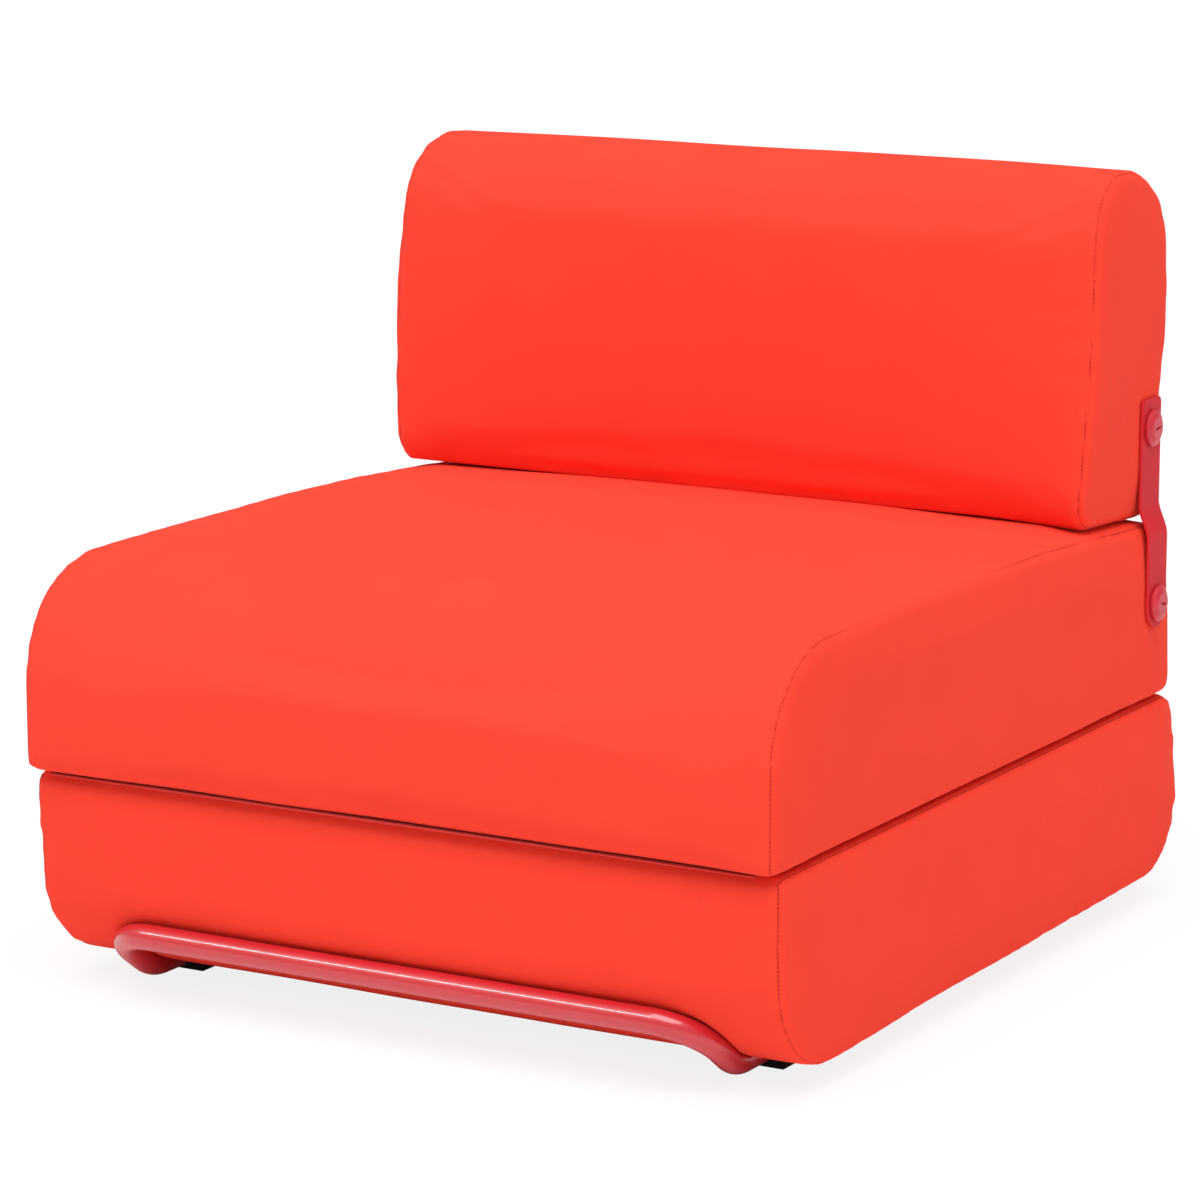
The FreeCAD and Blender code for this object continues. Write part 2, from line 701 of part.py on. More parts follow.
def bent_route(points, radius):
    """Straight runs through points, with a tangent arc of one radius at every corner."""
    edges = []
    start = points[0]
    for before, corner, after in zip(points, points[1:], points[2:]):
        back = (before - corner).normalize()
        ahead = (after - corner).normalize()
        half = back.getAngle(ahead) / 2
        reach = radius / math.tan(half)
        middle = corner + (back + ahead).normalize() * (radius / math.sin(half) - radius)
        first = corner + back * reach
        last = corner + ahead * reach
        edges.append(Part.LineSegment(start, first).toShape())
        edges.append(Part.Arc(first, middle, last).toShape())
        start = last
    edges.append(Part.LineSegment(start, points[-1]).toShape())
    return Part.Wire(edges)


def tube_route():
    """The frame's centreline, from the left runner's rear end to the right one's."""
    rail = RAIL_PLACE.number
    rail_height = RAIL_HEIGHT.number
    bar = (BAR_PLACE.number, size("bar_height").number)
    corner = RAIL_FRONT.number
    rear = RAIL_REAR.number
    points = [
        FreeCAD.Vector(-rail, rear, rail_height),
        FreeCAD.Vector(-rail, corner, rail_height),
        FreeCAD.Vector(-rail, *bar),
        FreeCAD.Vector(rail, *bar),
        FreeCAD.Vector(rail, corner, rail_height),
        FreeCAD.Vector(rail, rear, rail_height),
    ]
    route = doc.addObject("Part::Feature", "frame_centreline")
    route.Shape = bent_route(points, size("tube_bend").number)
    return route


def tube_frame():
    """The bent tube, closed inside and bored at its open ends for the plugs."""
    route = tube_route()
    ring = doc.addObject("Part::Circle", "frame_ring")
    bind(ring, "Radius", size("tube_radius"))
    ring.Placement = FreeCAD.Placement(FreeCAD.Vector(), AXIS_TURN["y"])
    place(ring, -RAIL_PLACE, RAIL_REAR, RAIL_HEIGHT)
    sweep = doc.addObject("Part::Sweep", "frame_bar")
    sweep.Sections = [ring]
    sweep.Spine = (route, [f"Edge{number}" for number in range(1, len(route.Shape.Edges) + 1)])
    sweep.Solid = True
    bore_radius = size("tube_radius") - size("tube_wall")
    depth = size("plug_depth") + size("plug_ease")
    bores = []
    for side, sign in SIDES:
        start = (RAIL_PLACE * sign, RAIL_REAR - depth, RAIL_HEIGHT)
        bores.append(cylinder(f"frame_bore_{side}", bore_radius, start, depth, "y"))
    node(cut("tube_frame", sweep, *bores), "tube_frame")


def cross_tubes():
    """Straight tubes welded between the runners, their ends coped to fit round them."""
    rail = RAIL_PLACE
    cope = size("tube_radius") + size("weld_gap")
    hole = size("bolt_radius") + size("bolt_ease")
    for tag, y in cross_tube_places():
        start = (-rail, y, RAIL_HEIGHT)
        tube = cylinder(f"cross_{tag}_tube", size("tube_radius"), start, rail * 2, "x")
        tools = []
        for side, sign in SIDES:
            low = (rail * sign, y - cope * 2, RAIL_HEIGHT)
            tools.append(cylinder(f"cross_{tag}_cope_{side}", cope, low, cope * 4, "y"))
            hole_start = (BOLT_PLACE * sign, y, Size(0))
            tools.append(cylinder(f"cross_{tag}_hole_{side}", hole, hole_start, BASE_BOTTOM, "z"))
        node(cut(f"cross_tube_{tag}", tube, *tools), f"cross_tube_{tag}")


def end_plugs():
    """Plastic plugs that close the runners' rear ends: a spigot and a flat head."""
    plugs = []
    for side, sign in SIDES:
        x = RAIL_PLACE * sign
        spigot_radius = size("tube_radius") - size("tube_wall") - size("plug_ease")
        start = (x, RAIL_REAR - size("plug_depth"), RAIL_HEIGHT)
        length = size("plug_depth")
        spigot = cylinder(f"plug_spigot_{side}", spigot_radius, start, length, "y")
        head_start = (x, RAIL_REAR, RAIL_HEIGHT)
        head = cylinder(
            f"plug_head_{side}", size("tube_radius"), head_start, size("plug_flange"), "y"
        )
        plugs.append(fuse(f"end_plug_{side}", spigot, head))
    node(group("end_plugs_group", plugs), "end_plugs")


def glide(label, x, y):
    """A moulded glide whose upper side is a saddle for the runner tube."""
    body = doc.addObject("PartDesign::Body", f"{label}_body")
    half = size("foot_width") / 2
    height = size("foot_height")
    chamfer = size("foot_chamfer")
    sketch = sketch_on(body, "XZ_Plane", f"{label}_profile")
    polygon(
        sketch,
        [
            (-half + chamfer, Size(0)),
            (half - chamfer, Size(0)),
            (half, chamfer),
            (half, height),
            (-half, height),
            (-half, chamfer),
        ],
    )
    pad(body, sketch, size("foot_length"), midplane=True)
    saddle = sketch_on(body, "XZ_Plane", f"{label}_saddle")
    circle(saddle, (Size(0), RAIL_HEIGHT), size("tube_radius") + size("foot_ease"))
    groove = body.newObject("PartDesign::Pocket", f"{label}_groove")
    groove.Profile = saddle
    groove.Type = "ThroughAll"
    groove.Midplane = True
    place(body, x, y, 0)
    node(body, label)


def glides():
    front = CROSS_FRONT - size("foot_front")
    rear = CROSS_REAR + size("foot_rear")
    for tag, y in (("front", front), ("rear", rear)):
        for side, sign in SIDES:
            glide(f"foot_{tag}_{side}", RAIL_PLACE * sign, y)


# Fabric hinge along the front of the fold seam


def fabric_hinge():
    half = size("half_width") - size("hinge_end")
    thick = size("hinge_thick") / 2
    seam = size("seam_height")
    body = doc.addObject("PartDesign::Body", "fold_hinge_body")
    sketch = sketch_on(body, "YZ_Plane", "fold_hinge_profile")
    rear = FOLD_AXIS + size("hinge_depth")
    polygon(
        sketch,
        [
            (FOLD_AXIS - thick / 2, seam - thick / 2),
            (FOLD_AXIS + thick, seam - thick),
            (rear, seam - thick),
            (rear, seam + thick),
            (FOLD_AXIS + thick, seam + thick),
            (FOLD_AXIS - thick / 2, seam + thick / 2),
        ],
    )
    pad(body, sketch, half * 2, midplane=True)
    node(body, "fold_hinge")


# Studs, anchor plates and nuts


class Anchor:
    """Where a stud stands on a cushion's side panel, and what it goes through."""

    def __init__(self, form, z):
        self.name = form.name
        self.z = z
        self.y = STRAP_PLACE
        self.strap_inside = form.half_width + form.puff + size("strap_clear")
        self.strap_outside = self.strap_inside + size("strap_thick")
        self.head_inside = self.strap_outside + size("stud_face_gap")
        self.plate_outside = form.half_width - size("fabric") - size("plate_sink")
        self.plate_inside = self.plate_outside - size("plate_thick")
        self.nut_inside = self.plate_inside - size("nut_thick")
        self.shank_end = self.nut_inside - size("shank_proud")


SEAT_ANCHOR = Anchor(SEAT_FORM, STUD_LOW)
BACK_ANCHOR = Anchor(BACK_FORM, STUD_HIGH)


def outward(anchor_x, end_x, sign):
    """Start of a sideways bar that spans two distances from the middle on one side."""
    return anchor_x if sign > 0 else -end_x


def stud(anchor, side, sign):
    """A slotted stud: a bevelled head, turned with its shank round one axis."""
    label = f"{anchor.name}_stud_{side}"
    body = doc.addObject("PartDesign::Body", f"{label}_body")
    sketch = sketch_on(body, "XZ_Plane", f"{label}_profile")
    shank = size("stud_shank")
    head = size("stud_head_radius")
    rim = size("stud_rim")
    dome = size("stud_dome")
    length = anchor.head_inside - anchor.shank_end
    polygon(
        sketch,
        [
            (-length, Size(0)),
            (-length, shank),
            (Size(0), shank),
            (Size(0), head),
            (rim, head),
            (rim + dome, head - size("stud_bevel")),
            (rim + dome, Size(0)),
        ],
    )
    turned = body.newObject("PartDesign::Revolution", f"{label}_turned")
    turned.Profile = sketch
    turned.ReferenceAxis = (sketch, ["H_Axis"])
    turned.Angle = 360
    slot = sketch_on(body, "XY_Plane", f"{label}_slot")
    half = size("slot_width") / 2
    top = rim + dome
    low = top - size("slot_depth")
    polygon(slot, [(low, -half), (top + rim, -half), (top + rim, half), (low, half)])
    groove = body.newObject("PartDesign::Pocket", f"{label}_slot_cut")
    groove.Profile = slot
    groove.Midplane = True
    bind(groove, "Length", size("slot_length"))
    turn = 0 if sign > 0 else 180
    body.Placement = FreeCAD.Placement(
        FreeCAD.Vector(), FreeCAD.Rotation(FreeCAD.Vector(0, 0, 1), turn)
    )
    place(body, anchor.head_inside * sign, anchor.y, anchor.z)
    return body


def anchor_plate(anchor, side, sign):
    """A square plate behind the side panel that a stud is drawn up against."""
    label = f"{anchor.name}_anchor_{side}"
    half = size("plate_half")
    x = outward(anchor.plate_inside, anchor.plate_outside, sign)
    low = (x, anchor.y - half, anchor.z - half)
    high = (x + size("plate_thick"), anchor.y + half, anchor.z + half)
    bore_radius = size("stud_shank") + size("stud_ease")
    start = (x, anchor.y, anchor.z)
    bore = cylinder(f"{label}_bore", bore_radius, start, size("plate_thick"), "x")
    return cut(label, box(f"{label}_blank", low, high), bore)


def stud_nut(anchor, side, sign):
    label = f"{anchor.name}_nut_{side}"
    start = (outward(anchor.nut_inside, anchor.plate_inside, sign), anchor.y, anchor.z)
    blank = prism(f"{label}_blank", size("nut_across"), start, size("nut_thick"), "x")
    bore = cylinder(
        f"{label}_bore", size("stud_shank") + size("stud_ease") / 2, start, size("nut_thick"), "x"
    )
    return cut(label, blank, bore)


def shank_holes(anchor):
    """Holes through a cover's side panels for the studs' shanks."""
    radius = size("stud_shank") + size("stud_ease")
    length = anchor.head_inside - anchor.shank_end
    return [
        cylinder(
            f"{anchor.name}_shank_hole_{side}",
            radius,
            (outward(anchor.shank_end, anchor.head_inside, sign), anchor.y, anchor.z),
            length,
            "x",
        )
        for side, sign in SIDES
    ]


def anchor_pockets(anchor):
    """Pockets in a foam block for the anchor plates and nuts."""
    half = size("plate_half") + size("panel_ease")
    inside = anchor.shank_end - size("panel_ease")
    pockets = []
    for side, sign in SIDES:
        low_x = outward(inside, anchor.head_inside, sign)
        high_x = outward(anchor.head_inside, inside, sign)
        low = (low_x, anchor.y - half, anchor.z - half)
        high = (high_x, anchor.y + half, anchor.z + half)
        pockets.append(box(f"{anchor.name}_pocket_{side}", low, high))
    return pockets


def anchorage(anchor):
    """Both studs of a cushion with the plates and nuts that hold them."""
    makers = (("studs", stud), ("anchor_plates", anchor_plate), ("stud_nuts", stud_nut))
    for word, maker in makers:
        pair = [maker(anchor, side, sign) for side, sign in SIDES]
        node(group(f"{anchor.name}_{word}_group", pair), f"{anchor.name}_{word}")


# Straps: a flat band that follows the side panels, cut to its outline


def strap_band(label, sign):
    """The band seen from the front, with its two soft bends, as deep as it is wide."""
    low = SEAT_ANCHOR.strap_inside
    high = BACK_ANCHOR.strap_inside
    thick = size("strap_thick")
    bottom = STUD_LOW - size("strap_end_low")
    top = STUD_HIGH + size("strap_end_high")
    bend_low = SEAT_TOP_REAR - size("strap_bend_low")
    bend_high = BACK_BOTTOM - size("strap_bend_high")
    body = doc.addObject("PartDesign::Body", f"{label}_band_body")
    sketch = sketch_on(body, "XZ_Plane", f"{label}_band")
    outline = [
        (low, bottom),
        (low, bend_low),
        (high, bend_high),
        (high, top),
        (high + thick, top),
        (high + thick, bend_high),
        (low + thick, bend_low),
        (low + thick, bottom),
    ]
    polygon(sketch, [(x * sign, z) for x, z in outline])
    band = pad(body, sketch, size("strap_width"), midplane=True)
    doc.recompute()
    bends = []
    for number, edge in enumerate(band.Shape.Edges, start=1):
        heights = [vertex.Z for vertex in edge.Vertexes]
        level = max(heights) - min(heights) < thick.number / 2
        across = abs(edge.Vertexes[0].Y - edge.Vertexes[-1].Y) > thick.number
        inner = bottom.number + thick.number < heights[0] < top.number - thick.number
        if level and across and inner:
            bends.append(f"Edge{number}")
    fillet = body.newObject("PartDesign::Fillet", f"{label}_bends")
    fillet.Base = (band, bends)
    bind(fillet, "Radius", size("strap_bend_round"))
    place(body, 0, STRAP_PLACE, 0)
    return body


def strap_outline(label, sign):
    """The strap seen from the side: a round lower end, a squarer upper end, two stud holes."""
    half = size("strap_width") / 2
    corner = size("strap_corner")
    apart = STUD_HIGH - STUD_LOW
    top = apart + size("strap_end_high")
    bottom = -size("strap_end_low")
    body = doc.addObject("PartDesign::Body", f"{label}_outline_body")
    sketch = sketch_on(body, "YZ_Plane", f"{label}_outline")
    polygon(sketch, [(-half, bottom), (half, bottom), (half, top), (-half, top)])
    hole = size("stud_shank") + size("stud_ease")
    circle(sketch, (Size(0), Size(0)), hole)
    circle(sketch, (Size(0), apart), hole)
    reach = SEAT_ANCHOR.head_inside * sign
    slab = pad(body, sketch, size("half_width") / 2, midplane=True)
    doc.recompute()
    rounds = {"low": [], "high": []}
    for number, edge in enumerate(slab.Shape.Edges, start=1):
        ends = edge.Vertexes
        if len(ends) == 2 and abs(ends[0].X - ends[1].X) > half.number:
            rounds["low" if ends[0].Z < 0 else "high"].append(f"Edge{number}")
    upper = body.newObject("PartDesign::Fillet", f"{label}_upper_end")
    upper.Base = (slab, rounds["high"])
    bind(upper, "Radius", corner)
    doc.recompute()
    low_edges = [
        f"Edge{number}"
        for number, edge in enumerate(upper.Shape.Edges, start=1)
        if len(edge.Vertexes) == 2
        and abs(edge.Vertexes[0].X - edge.Vertexes[1].X) > half.number
        and edge.Vertexes[0].Z < 0
    ]
    lower = body.newObject("PartDesign::Fillet", f"{label}_lower_end")
    lower.Base = (upper, low_edges)
    bind(lower, "Radius", half - size("strap_tip") / 2)
    place(body, reach, STRAP_PLACE, STUD_LOW)
    return body


def straps():
    for side, sign in SIDES:
        label = f"strap_{side}"
        node(common(label, strap_band(label, sign), strap_outline(label, sign)), label)


# Seat and back cushions


def seat_cushion():
    cushion(SEAT_FORM, shank_holes(SEAT_ANCHOR), anchor_pockets(SEAT_ANCHOR))


def back_cushion():
    cushion(BACK_FORM, shank_holes(BACK_ANCHOR), anchor_pockets(BACK_ANCHOR))


def check_and_export():
    """Stops on any failed object or shape, then writes every piece to its own file."""
    doc.recompute()
    for part in doc.Objects:
        if "Invalid" in part.State or "Error" in part.State:
            raise RuntimeError(f"{part.Label} failed: {part.State}")
    for part in nodes:
        if part.Shape.isNull() or not part.Shape.isValid() or not part.Shape.Solids:
            raise RuntimeError(f"{part.Label} has no sound solid")
    os.makedirs("parts", exist_ok=True)
    for part in nodes:
        part.Shape.exportStep(os.path.join("parts", f"{part.Label}.step"))
        print(f"{part.Label}: {len(part.Shape.Solids)} solid, {part.Shape.Volume / 1000:.1f} cm3")


tube_frame()
cross_tubes()
end_plugs()
glides()
base_cushion()
base_panel()
frame_fixings()
fabric_hinge()
seat_cushion()
anchorage(SEAT_ANCHOR)
straps()
back_cushion()
anchorage(BACK_ANCHOR)
check_and_export()
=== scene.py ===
"""Looks of a convertible chair bed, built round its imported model.

A low foam chair: a base cushion on a bent tube frame, a seat cushion that folds forward on a
cloth hinge, and a back cushion that two studded straps carry. Metres, +Z up, -Y towards the
sitter's feet, +X to the right seen from the front.
"""

import logging
import math
from dataclasses import dataclass, replace
from enum import Enum
from typing import Any, Iterable, Sequence

import bmesh
import bpy
import numpy as np
from mathutils import Euler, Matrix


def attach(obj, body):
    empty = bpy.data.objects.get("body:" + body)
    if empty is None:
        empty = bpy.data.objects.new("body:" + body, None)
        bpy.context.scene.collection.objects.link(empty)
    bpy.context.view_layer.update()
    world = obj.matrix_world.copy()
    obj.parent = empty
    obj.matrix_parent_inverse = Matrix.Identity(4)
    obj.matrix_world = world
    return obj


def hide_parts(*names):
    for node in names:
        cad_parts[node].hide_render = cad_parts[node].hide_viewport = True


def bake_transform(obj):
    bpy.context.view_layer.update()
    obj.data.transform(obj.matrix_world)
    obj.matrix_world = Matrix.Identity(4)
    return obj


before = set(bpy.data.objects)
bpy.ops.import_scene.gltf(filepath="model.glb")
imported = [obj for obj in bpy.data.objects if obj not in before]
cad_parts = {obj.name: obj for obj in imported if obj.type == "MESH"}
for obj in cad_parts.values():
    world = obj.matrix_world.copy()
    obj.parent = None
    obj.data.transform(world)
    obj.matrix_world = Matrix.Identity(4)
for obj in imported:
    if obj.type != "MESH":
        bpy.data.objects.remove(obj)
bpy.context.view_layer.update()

log = logging.getLogger("chair_bed")

STRAIGHT = 1000.0
"""Crown radius, in metres, that stands for a straight face."""


class Body(Enum):
    """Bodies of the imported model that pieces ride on."""

    BASE = "base"
    SEAT = "seat"
    BACK = "back"
    STRAP_LEFT = "strap_left"
    STRAP_RIGHT = "strap_right"


class Slot(Enum):
    """Material slots of the record."""

    FABRIC = "cover_fabric"
    FOAM = "foam"
    PLYWOOD = "plywood"
    COAT = "powder_coat"
    GLIDE = "glide_plastic"
    STEEL = "zinc_steel"
    STRAP = "strap"
    STUD = "stud"
    HINGE = "hinge_webbing"


class Side(Enum):
    """The two sides of the chair, with the sign of X on each."""

    LEFT = -1
    RIGHT = 1


# Shader maths


def linear(colour: Sequence[float]) -> tuple[float, float, float, float]:
    """Turns a screen colour of 0 to 255 into the linear one that a shader reads.

    Args:
        colour: Red, green and blue from 0 to 255.
    Returns:
        Linear red, green, blue and an alpha of 1.
    """
    share = np.asarray(colour, float) / 255.0
    light = np.where(share <= 0.04045, share / 12.92, ((share + 0.055) / 1.055) ** 2.4)
    return (*light.tolist(), 1.0)


class Wire:
    """An output of a node tree that Python's operators build Math nodes on."""

    def __init__(self, graph: "Graph", socket: bpy.types.NodeSocket) -> None:
        """Keeps the tree and the socket."""
        self.graph = graph
        self.socket = socket

    def math(self, operation: str, *terms: Any) -> "Wire":
        """Adds a Math node on some terms, in their order."""
        return self.graph.node("ShaderNodeMath", {"operation": operation}, dict(enumerate(terms)))

    def __add__(self, other: Any) -> "Wire":
        """self + other"""
        return self.math("ADD", self, other)

    def __sub__(self, other: Any) -> "Wire":
        """self - other"""
        return self.math("SUBTRACT", self, other)

    def __rsub__(self, other: Any) -> "Wire":
        """other - self"""
        return self.math("SUBTRACT", other, self)

    def __mul__(self, other: Any) -> "Wire":
        """self * other"""
        return self.math("MULTIPLY", self, other)

    def __abs__(self) -> "Wire":
        """Size without sign."""
        return self.math("ABSOLUTE", self)

    __radd__ = __add__
    __rmul__ = __mul__

    def wave(self, pitch: float) -> "Wire":
        """Sine that repeats at each pitch."""
        return self.math("SINE", self * (2 * math.pi / pitch))

    def fade(self, low: float, high: float) -> "Wire":
        """Smooth step from 0 at low to 1 at high; low may be the larger."""
        limits = {"Value": self, "From Min": low, "From Max": high}
        return self.graph.node("ShaderNodeMapRange", {"interpolation_type": "SMOOTHSTEP"}, limits)


class Graph:
    """The node tree of a material or a world, with one method for every kind of node."""

    def __init__(self, owner: bpy.types.Material | bpy.types.World) -> None:
        """Empties the owner's node tree."""
        owner.use_nodes = True
        self.tree = owner.node_tree
        self.tree.nodes.clear()

    def node(
        self,
        kind: str,
        settings: dict[str, Any] | None = None,
        inputs: dict[Any, Any] | None = None,
        output: int | str = 0,
    ) -> Wire:
        """Adds a node.

        Args:
            kind: The node's type.
            settings: Its own settings, which are set first.
            inputs: Its sockets by name or number, each a value or a Wire.
            output: The output that is wanted.
        Returns:
            That output.
        """
        made = self.tree.nodes.new(kind)
        for key, value in (settings or {}).items():
            setattr(made, key, value)
        for key, value in (inputs or {}).items():
            if isinstance(value, Wire):
                self.tree.links.new(value.socket, made.inputs[key])
            else:
                made.inputs[key].default_value = value
        return Wire(self, made.outputs[output])

    def place(self) -> Wire:
        """Object coordinates."""
        return self.node("ShaderNodeTexCoord", output="Object")

    def parts(self, vector: Wire) -> tuple[Wire, Wire, Wire]:
        """The three numbers of a vector."""
        split = self.node("ShaderNodeSeparateXYZ", inputs={0: vector})
        return tuple(Wire(self, socket) for socket in split.socket.node.outputs)

    def stretched(self, vector: Wire, scale: Sequence[float]) -> Wire:
        """A vector scaled along each axis."""
        settings = {"operation": "MULTIPLY"}
        return self.node("ShaderNodeVectorMath", settings, {0: vector, 1: tuple(scale)})

    def noise(self, vector: Wire, scale: float, detail: float = 2.0) -> Wire:
        """Noise between 0 and 1, in bumps of about 1 / scale metres."""
        inputs = {"Vector": vector, "Scale": scale, "Detail": detail}
        return self.node("ShaderNodeTexNoise", {"noise_dimensions": "3D"}, inputs)

    def blend(self, factor: Any, first: Any, second: Any) -> Wire:
        """Colour between two colours."""
        inputs = {0: factor, 6: first, 7: second}
        return self.node("ShaderNodeMix", {"data_type": "RGBA"}, inputs, 2)

    def relief(self, height: Wire) -> Wire:
        """Normals for a height that is given in metres."""
        return self.node("ShaderNodeBump", None, {"Height": height, "Distance": 1.0})

    def shader(self, inputs: dict[str, Any]) -> Wire:
        """A Principled shader with these sockets."""
        return self.node("ShaderNodeBsdfPrincipled", None, inputs)

    def surface(self, shader: Wire, kind: str = "ShaderNodeOutputMaterial") -> None:
        """Links a shader to an output node."""
        made = self.tree.nodes.new(kind)
        self.tree.links.new(shader.socket, made.inputs["Surface"])


# Finishes


@dataclass(frozen=True)
class Finish:
    """A finish: a name and the colour that it shows, as red, green and blue of 0 to 255."""

    name: str
    colour: tuple[float, float, float]

    def tone(self, share: float) -> tuple[float, float, float, float]:
        """The colour, darker for a share below 1 and paler above."""
        red, green, blue, alpha = linear(self.colour)
        return (min(red * share, 1.0), min(green * share, 1.0), min(blue * share, 1.0), alpha)

    def sockets(self, graph: Graph) -> dict[str, Any]:
        """What the finish gives to the shader."""
        raise NotImplementedError

    def material(self) -> bpy.types.Material:
        """Builds the finish as a material."""
        made = bpy.data.materials.new(self.name)
        graph = Graph(made)
        graph.surface(graph.shader(self.sockets(graph)))
        return made


@dataclass(frozen=True)
class WovenCover(Finish):
    """Plain-weave upholstery cloth with stitched seams and a soft nap."""

    yarn: float = 0.0011
    yarn_relief: float = 0.00010
    stitch: float = 0.0042
    sheen: float = 0.045

    def sockets(self, graph: Graph) -> dict[str, Any]:
        """Weave and nap, with painted shade along the seams.

        The weave's height is (1 + s) cos(u) + (1 - s) cos(v), where s is the product of the
        half-speed sines of u and v, so that warp and weft lie on top by turns.
        """
        place = graph.place()
        cloth = graph.node("ShaderNodeUVMap", {"uv_map": "cloth"})
        warp, weft, _ = graph.parts(cloth)
        quarter = self.yarn / 4
        turn = warp.wave(2 * self.yarn) * weft.wave(2 * self.yarn)
        over = (warp + quarter).wave(self.yarn) * (1 + turn)
        under = (weft + quarter).wave(self.yarn) * (1 - turn)
        weave = (over + under) * 0.25 + 0.5
        slub_warp = graph.noise(graph.stretched(cloth, (900.0, 40.0, 1.0)), 1.0)
        slub_weft = graph.noise(graph.stretched(cloth, (40.0, 900.0, 1.0)), 1.0)
        slub = (slub_warp + slub_weft) * 0.5
        nap = graph.noise(place, 700.0, 3.0)
        mottle = graph.noise(place, 14.0, 3.0)
        distance = graph.node("ShaderNodeAttribute", {"attribute_name": "seam_distance"}, None, "Fac")
        run = graph.node("ShaderNodeAttribute", {"attribute_name": "seam_run"}, None, "Fac")
        # Painted shade along each seam: a dark line where the seam's groove lies in shade, in dashes at
        # the stitch pitch. The same mask also sinks the bump.
        line = distance.fade(0.0020, 0.0005)
        seam_shade_and_dip = line * (0.7 + run.wave(self.stitch) * 0.3)
        worn = abs(distance - 0.008).fade(0.007, 0.0)
        light = weave * 0.10 + slub * 0.36 + nap * 0.12 + mottle * 0.42
        cloth_colour = graph.blend(light, self.tone(0.84), self.tone(1.14))
        cloth_colour = graph.blend(worn * 0.10, cloth_colour, self.tone(1.3))
        # Painted shade: the seam line is darkened towards 0.3 of the cloth's colour.
        cloth_colour = graph.blend(seam_shade_and_dip * 0.65, cloth_colour, self.tone(0.30))
        height = (weave + slub * 0.8) * self.yarn_relief + nap * 0.00006
        height = height - seam_shade_and_dip * 0.0009
        return {
            "Base Color": cloth_colour,
            "Roughness": 0.82 + slub * 0.14,
            "Normal": graph.relief(height),
            "Specular IOR Level": 0.06,
            "Sheen Weight": self.sheen,
            "Sheen Roughness": 0.45,
            "Sheen Tint": (1.0, 0.55, 0.42, 1.0),
        }


@dataclass(frozen=True)
class PowderCoat(Finish):
    """Glossy powder coat on steel tube, with a faint orange peel and scuffs."""

    peel: float = 420.0

    def sockets(self, graph: Graph) -> dict[str, Any]:
        """Orange peel as fine noise, and scuffs as stretched noise above a threshold."""
        place = graph.place()
        peel = graph.noise(place, self.peel, 1.0)
        cloud = graph.noise(place, 9.0, 3.0)
        scuff = graph.noise(graph.stretched(place, (30.0, 260.0, 260.0)), 1.0, 4.0).fade(0.68, 0.80)
        colour = graph.blend(cloud, self.tone(0.90), self.tone(1.10))
        colour = graph.blend(scuff * 0.16, colour, self.tone(1.9))
        return {
            "Base Color": colour,
            "Roughness": 0.30 + cloud * 0.10 + scuff * 0.15,
            "Normal": graph.relief(peel * 0.00005),
            "Coat Weight": 0.70 - scuff * 0.30,
            "Coat Roughness": 0.10,
            "Specular IOR Level": 0.55,
        }


@dataclass(frozen=True)
class StrapWeb(Finish):
    """Fine coated webbing whose ribs run along the strap."""

    rib: float = 0.0016

    def sockets(self, graph: Graph) -> dict[str, Any]:
        """Ribs across the strap's width, broken by picks along its height."""
        place = graph.place()
        _, depth, height = graph.parts(place)
        ribs = depth.wave(self.rib) * 0.5 + 0.5
        picks = height.wave(self.rib * 0.75) * 0.5 + 0.5
        grain = graph.noise(place, 500.0, 3.0)
        cloud = graph.noise(place, 22.0, 3.0)
        light = ribs * 0.18 + picks * 0.10 + grain * 0.20 + cloud * 0.52
        relief = ribs * 0.00010 + ribs * picks * 0.00006 + grain * 0.00004
        return {
            "Base Color": graph.blend(light, self.tone(0.78), self.tone(1.20)),
            "Roughness": 0.52 + grain * 0.22,
            "Normal": graph.relief(relief),
            "Specular IOR Level": 0.15,
        }


@dataclass(frozen=True)
class Moulded(Finish):
    """Injection-moulded plastic with a spark-eroded grain."""

    grain: float = 900.0
    grain_relief: float = 0.00003
    roughness: float = 0.42
    rubbed: float = 1.3

    def sockets(self, graph: Graph) -> dict[str, Any]:
        """Grain as fine noise; rubbed spots are paler and smoother."""
        place = graph.place()
        grain = graph.noise(place, self.grain, 2.0)
        cloud = graph.noise(place, 60.0, 3.0)
        rubbed = cloud.fade(0.52, 0.72)
        colour = graph.blend(grain, self.tone(0.88), self.tone(1.12))
        return {
            "Base Color": graph.blend(rubbed * 0.35, colour, self.tone(self.rubbed)),
            "Roughness": self.roughness + grain * 0.12 - rubbed * 0.10,
            "Normal": graph.relief(grain * self.grain_relief),
            "Specular IOR Level": 0.35,
        }


@dataclass(frozen=True)
class ZincSteel(Finish):
    """Zinc-plated steel with a brushed, slightly clouded skin."""

    def sockets(self, graph: Graph) -> dict[str, Any]:
        """Brush lines as stretched noise over broad clouds."""
        place = graph.place()
        brush = graph.noise(graph.stretched(place, (90.0, 90.0, 1900.0)), 1.0, 3.0)
        cloud = graph.noise(place, 110.0, 3.0)
        return {
            "Base Color": graph.blend(cloud, self.tone(0.78), self.tone(1.12)),
            "Roughness": 0.26 + brush * 0.20,
            "Normal": graph.relief(brush * 0.00003),
            "Metallic": 0.85 + cloud * 0.15,
        }


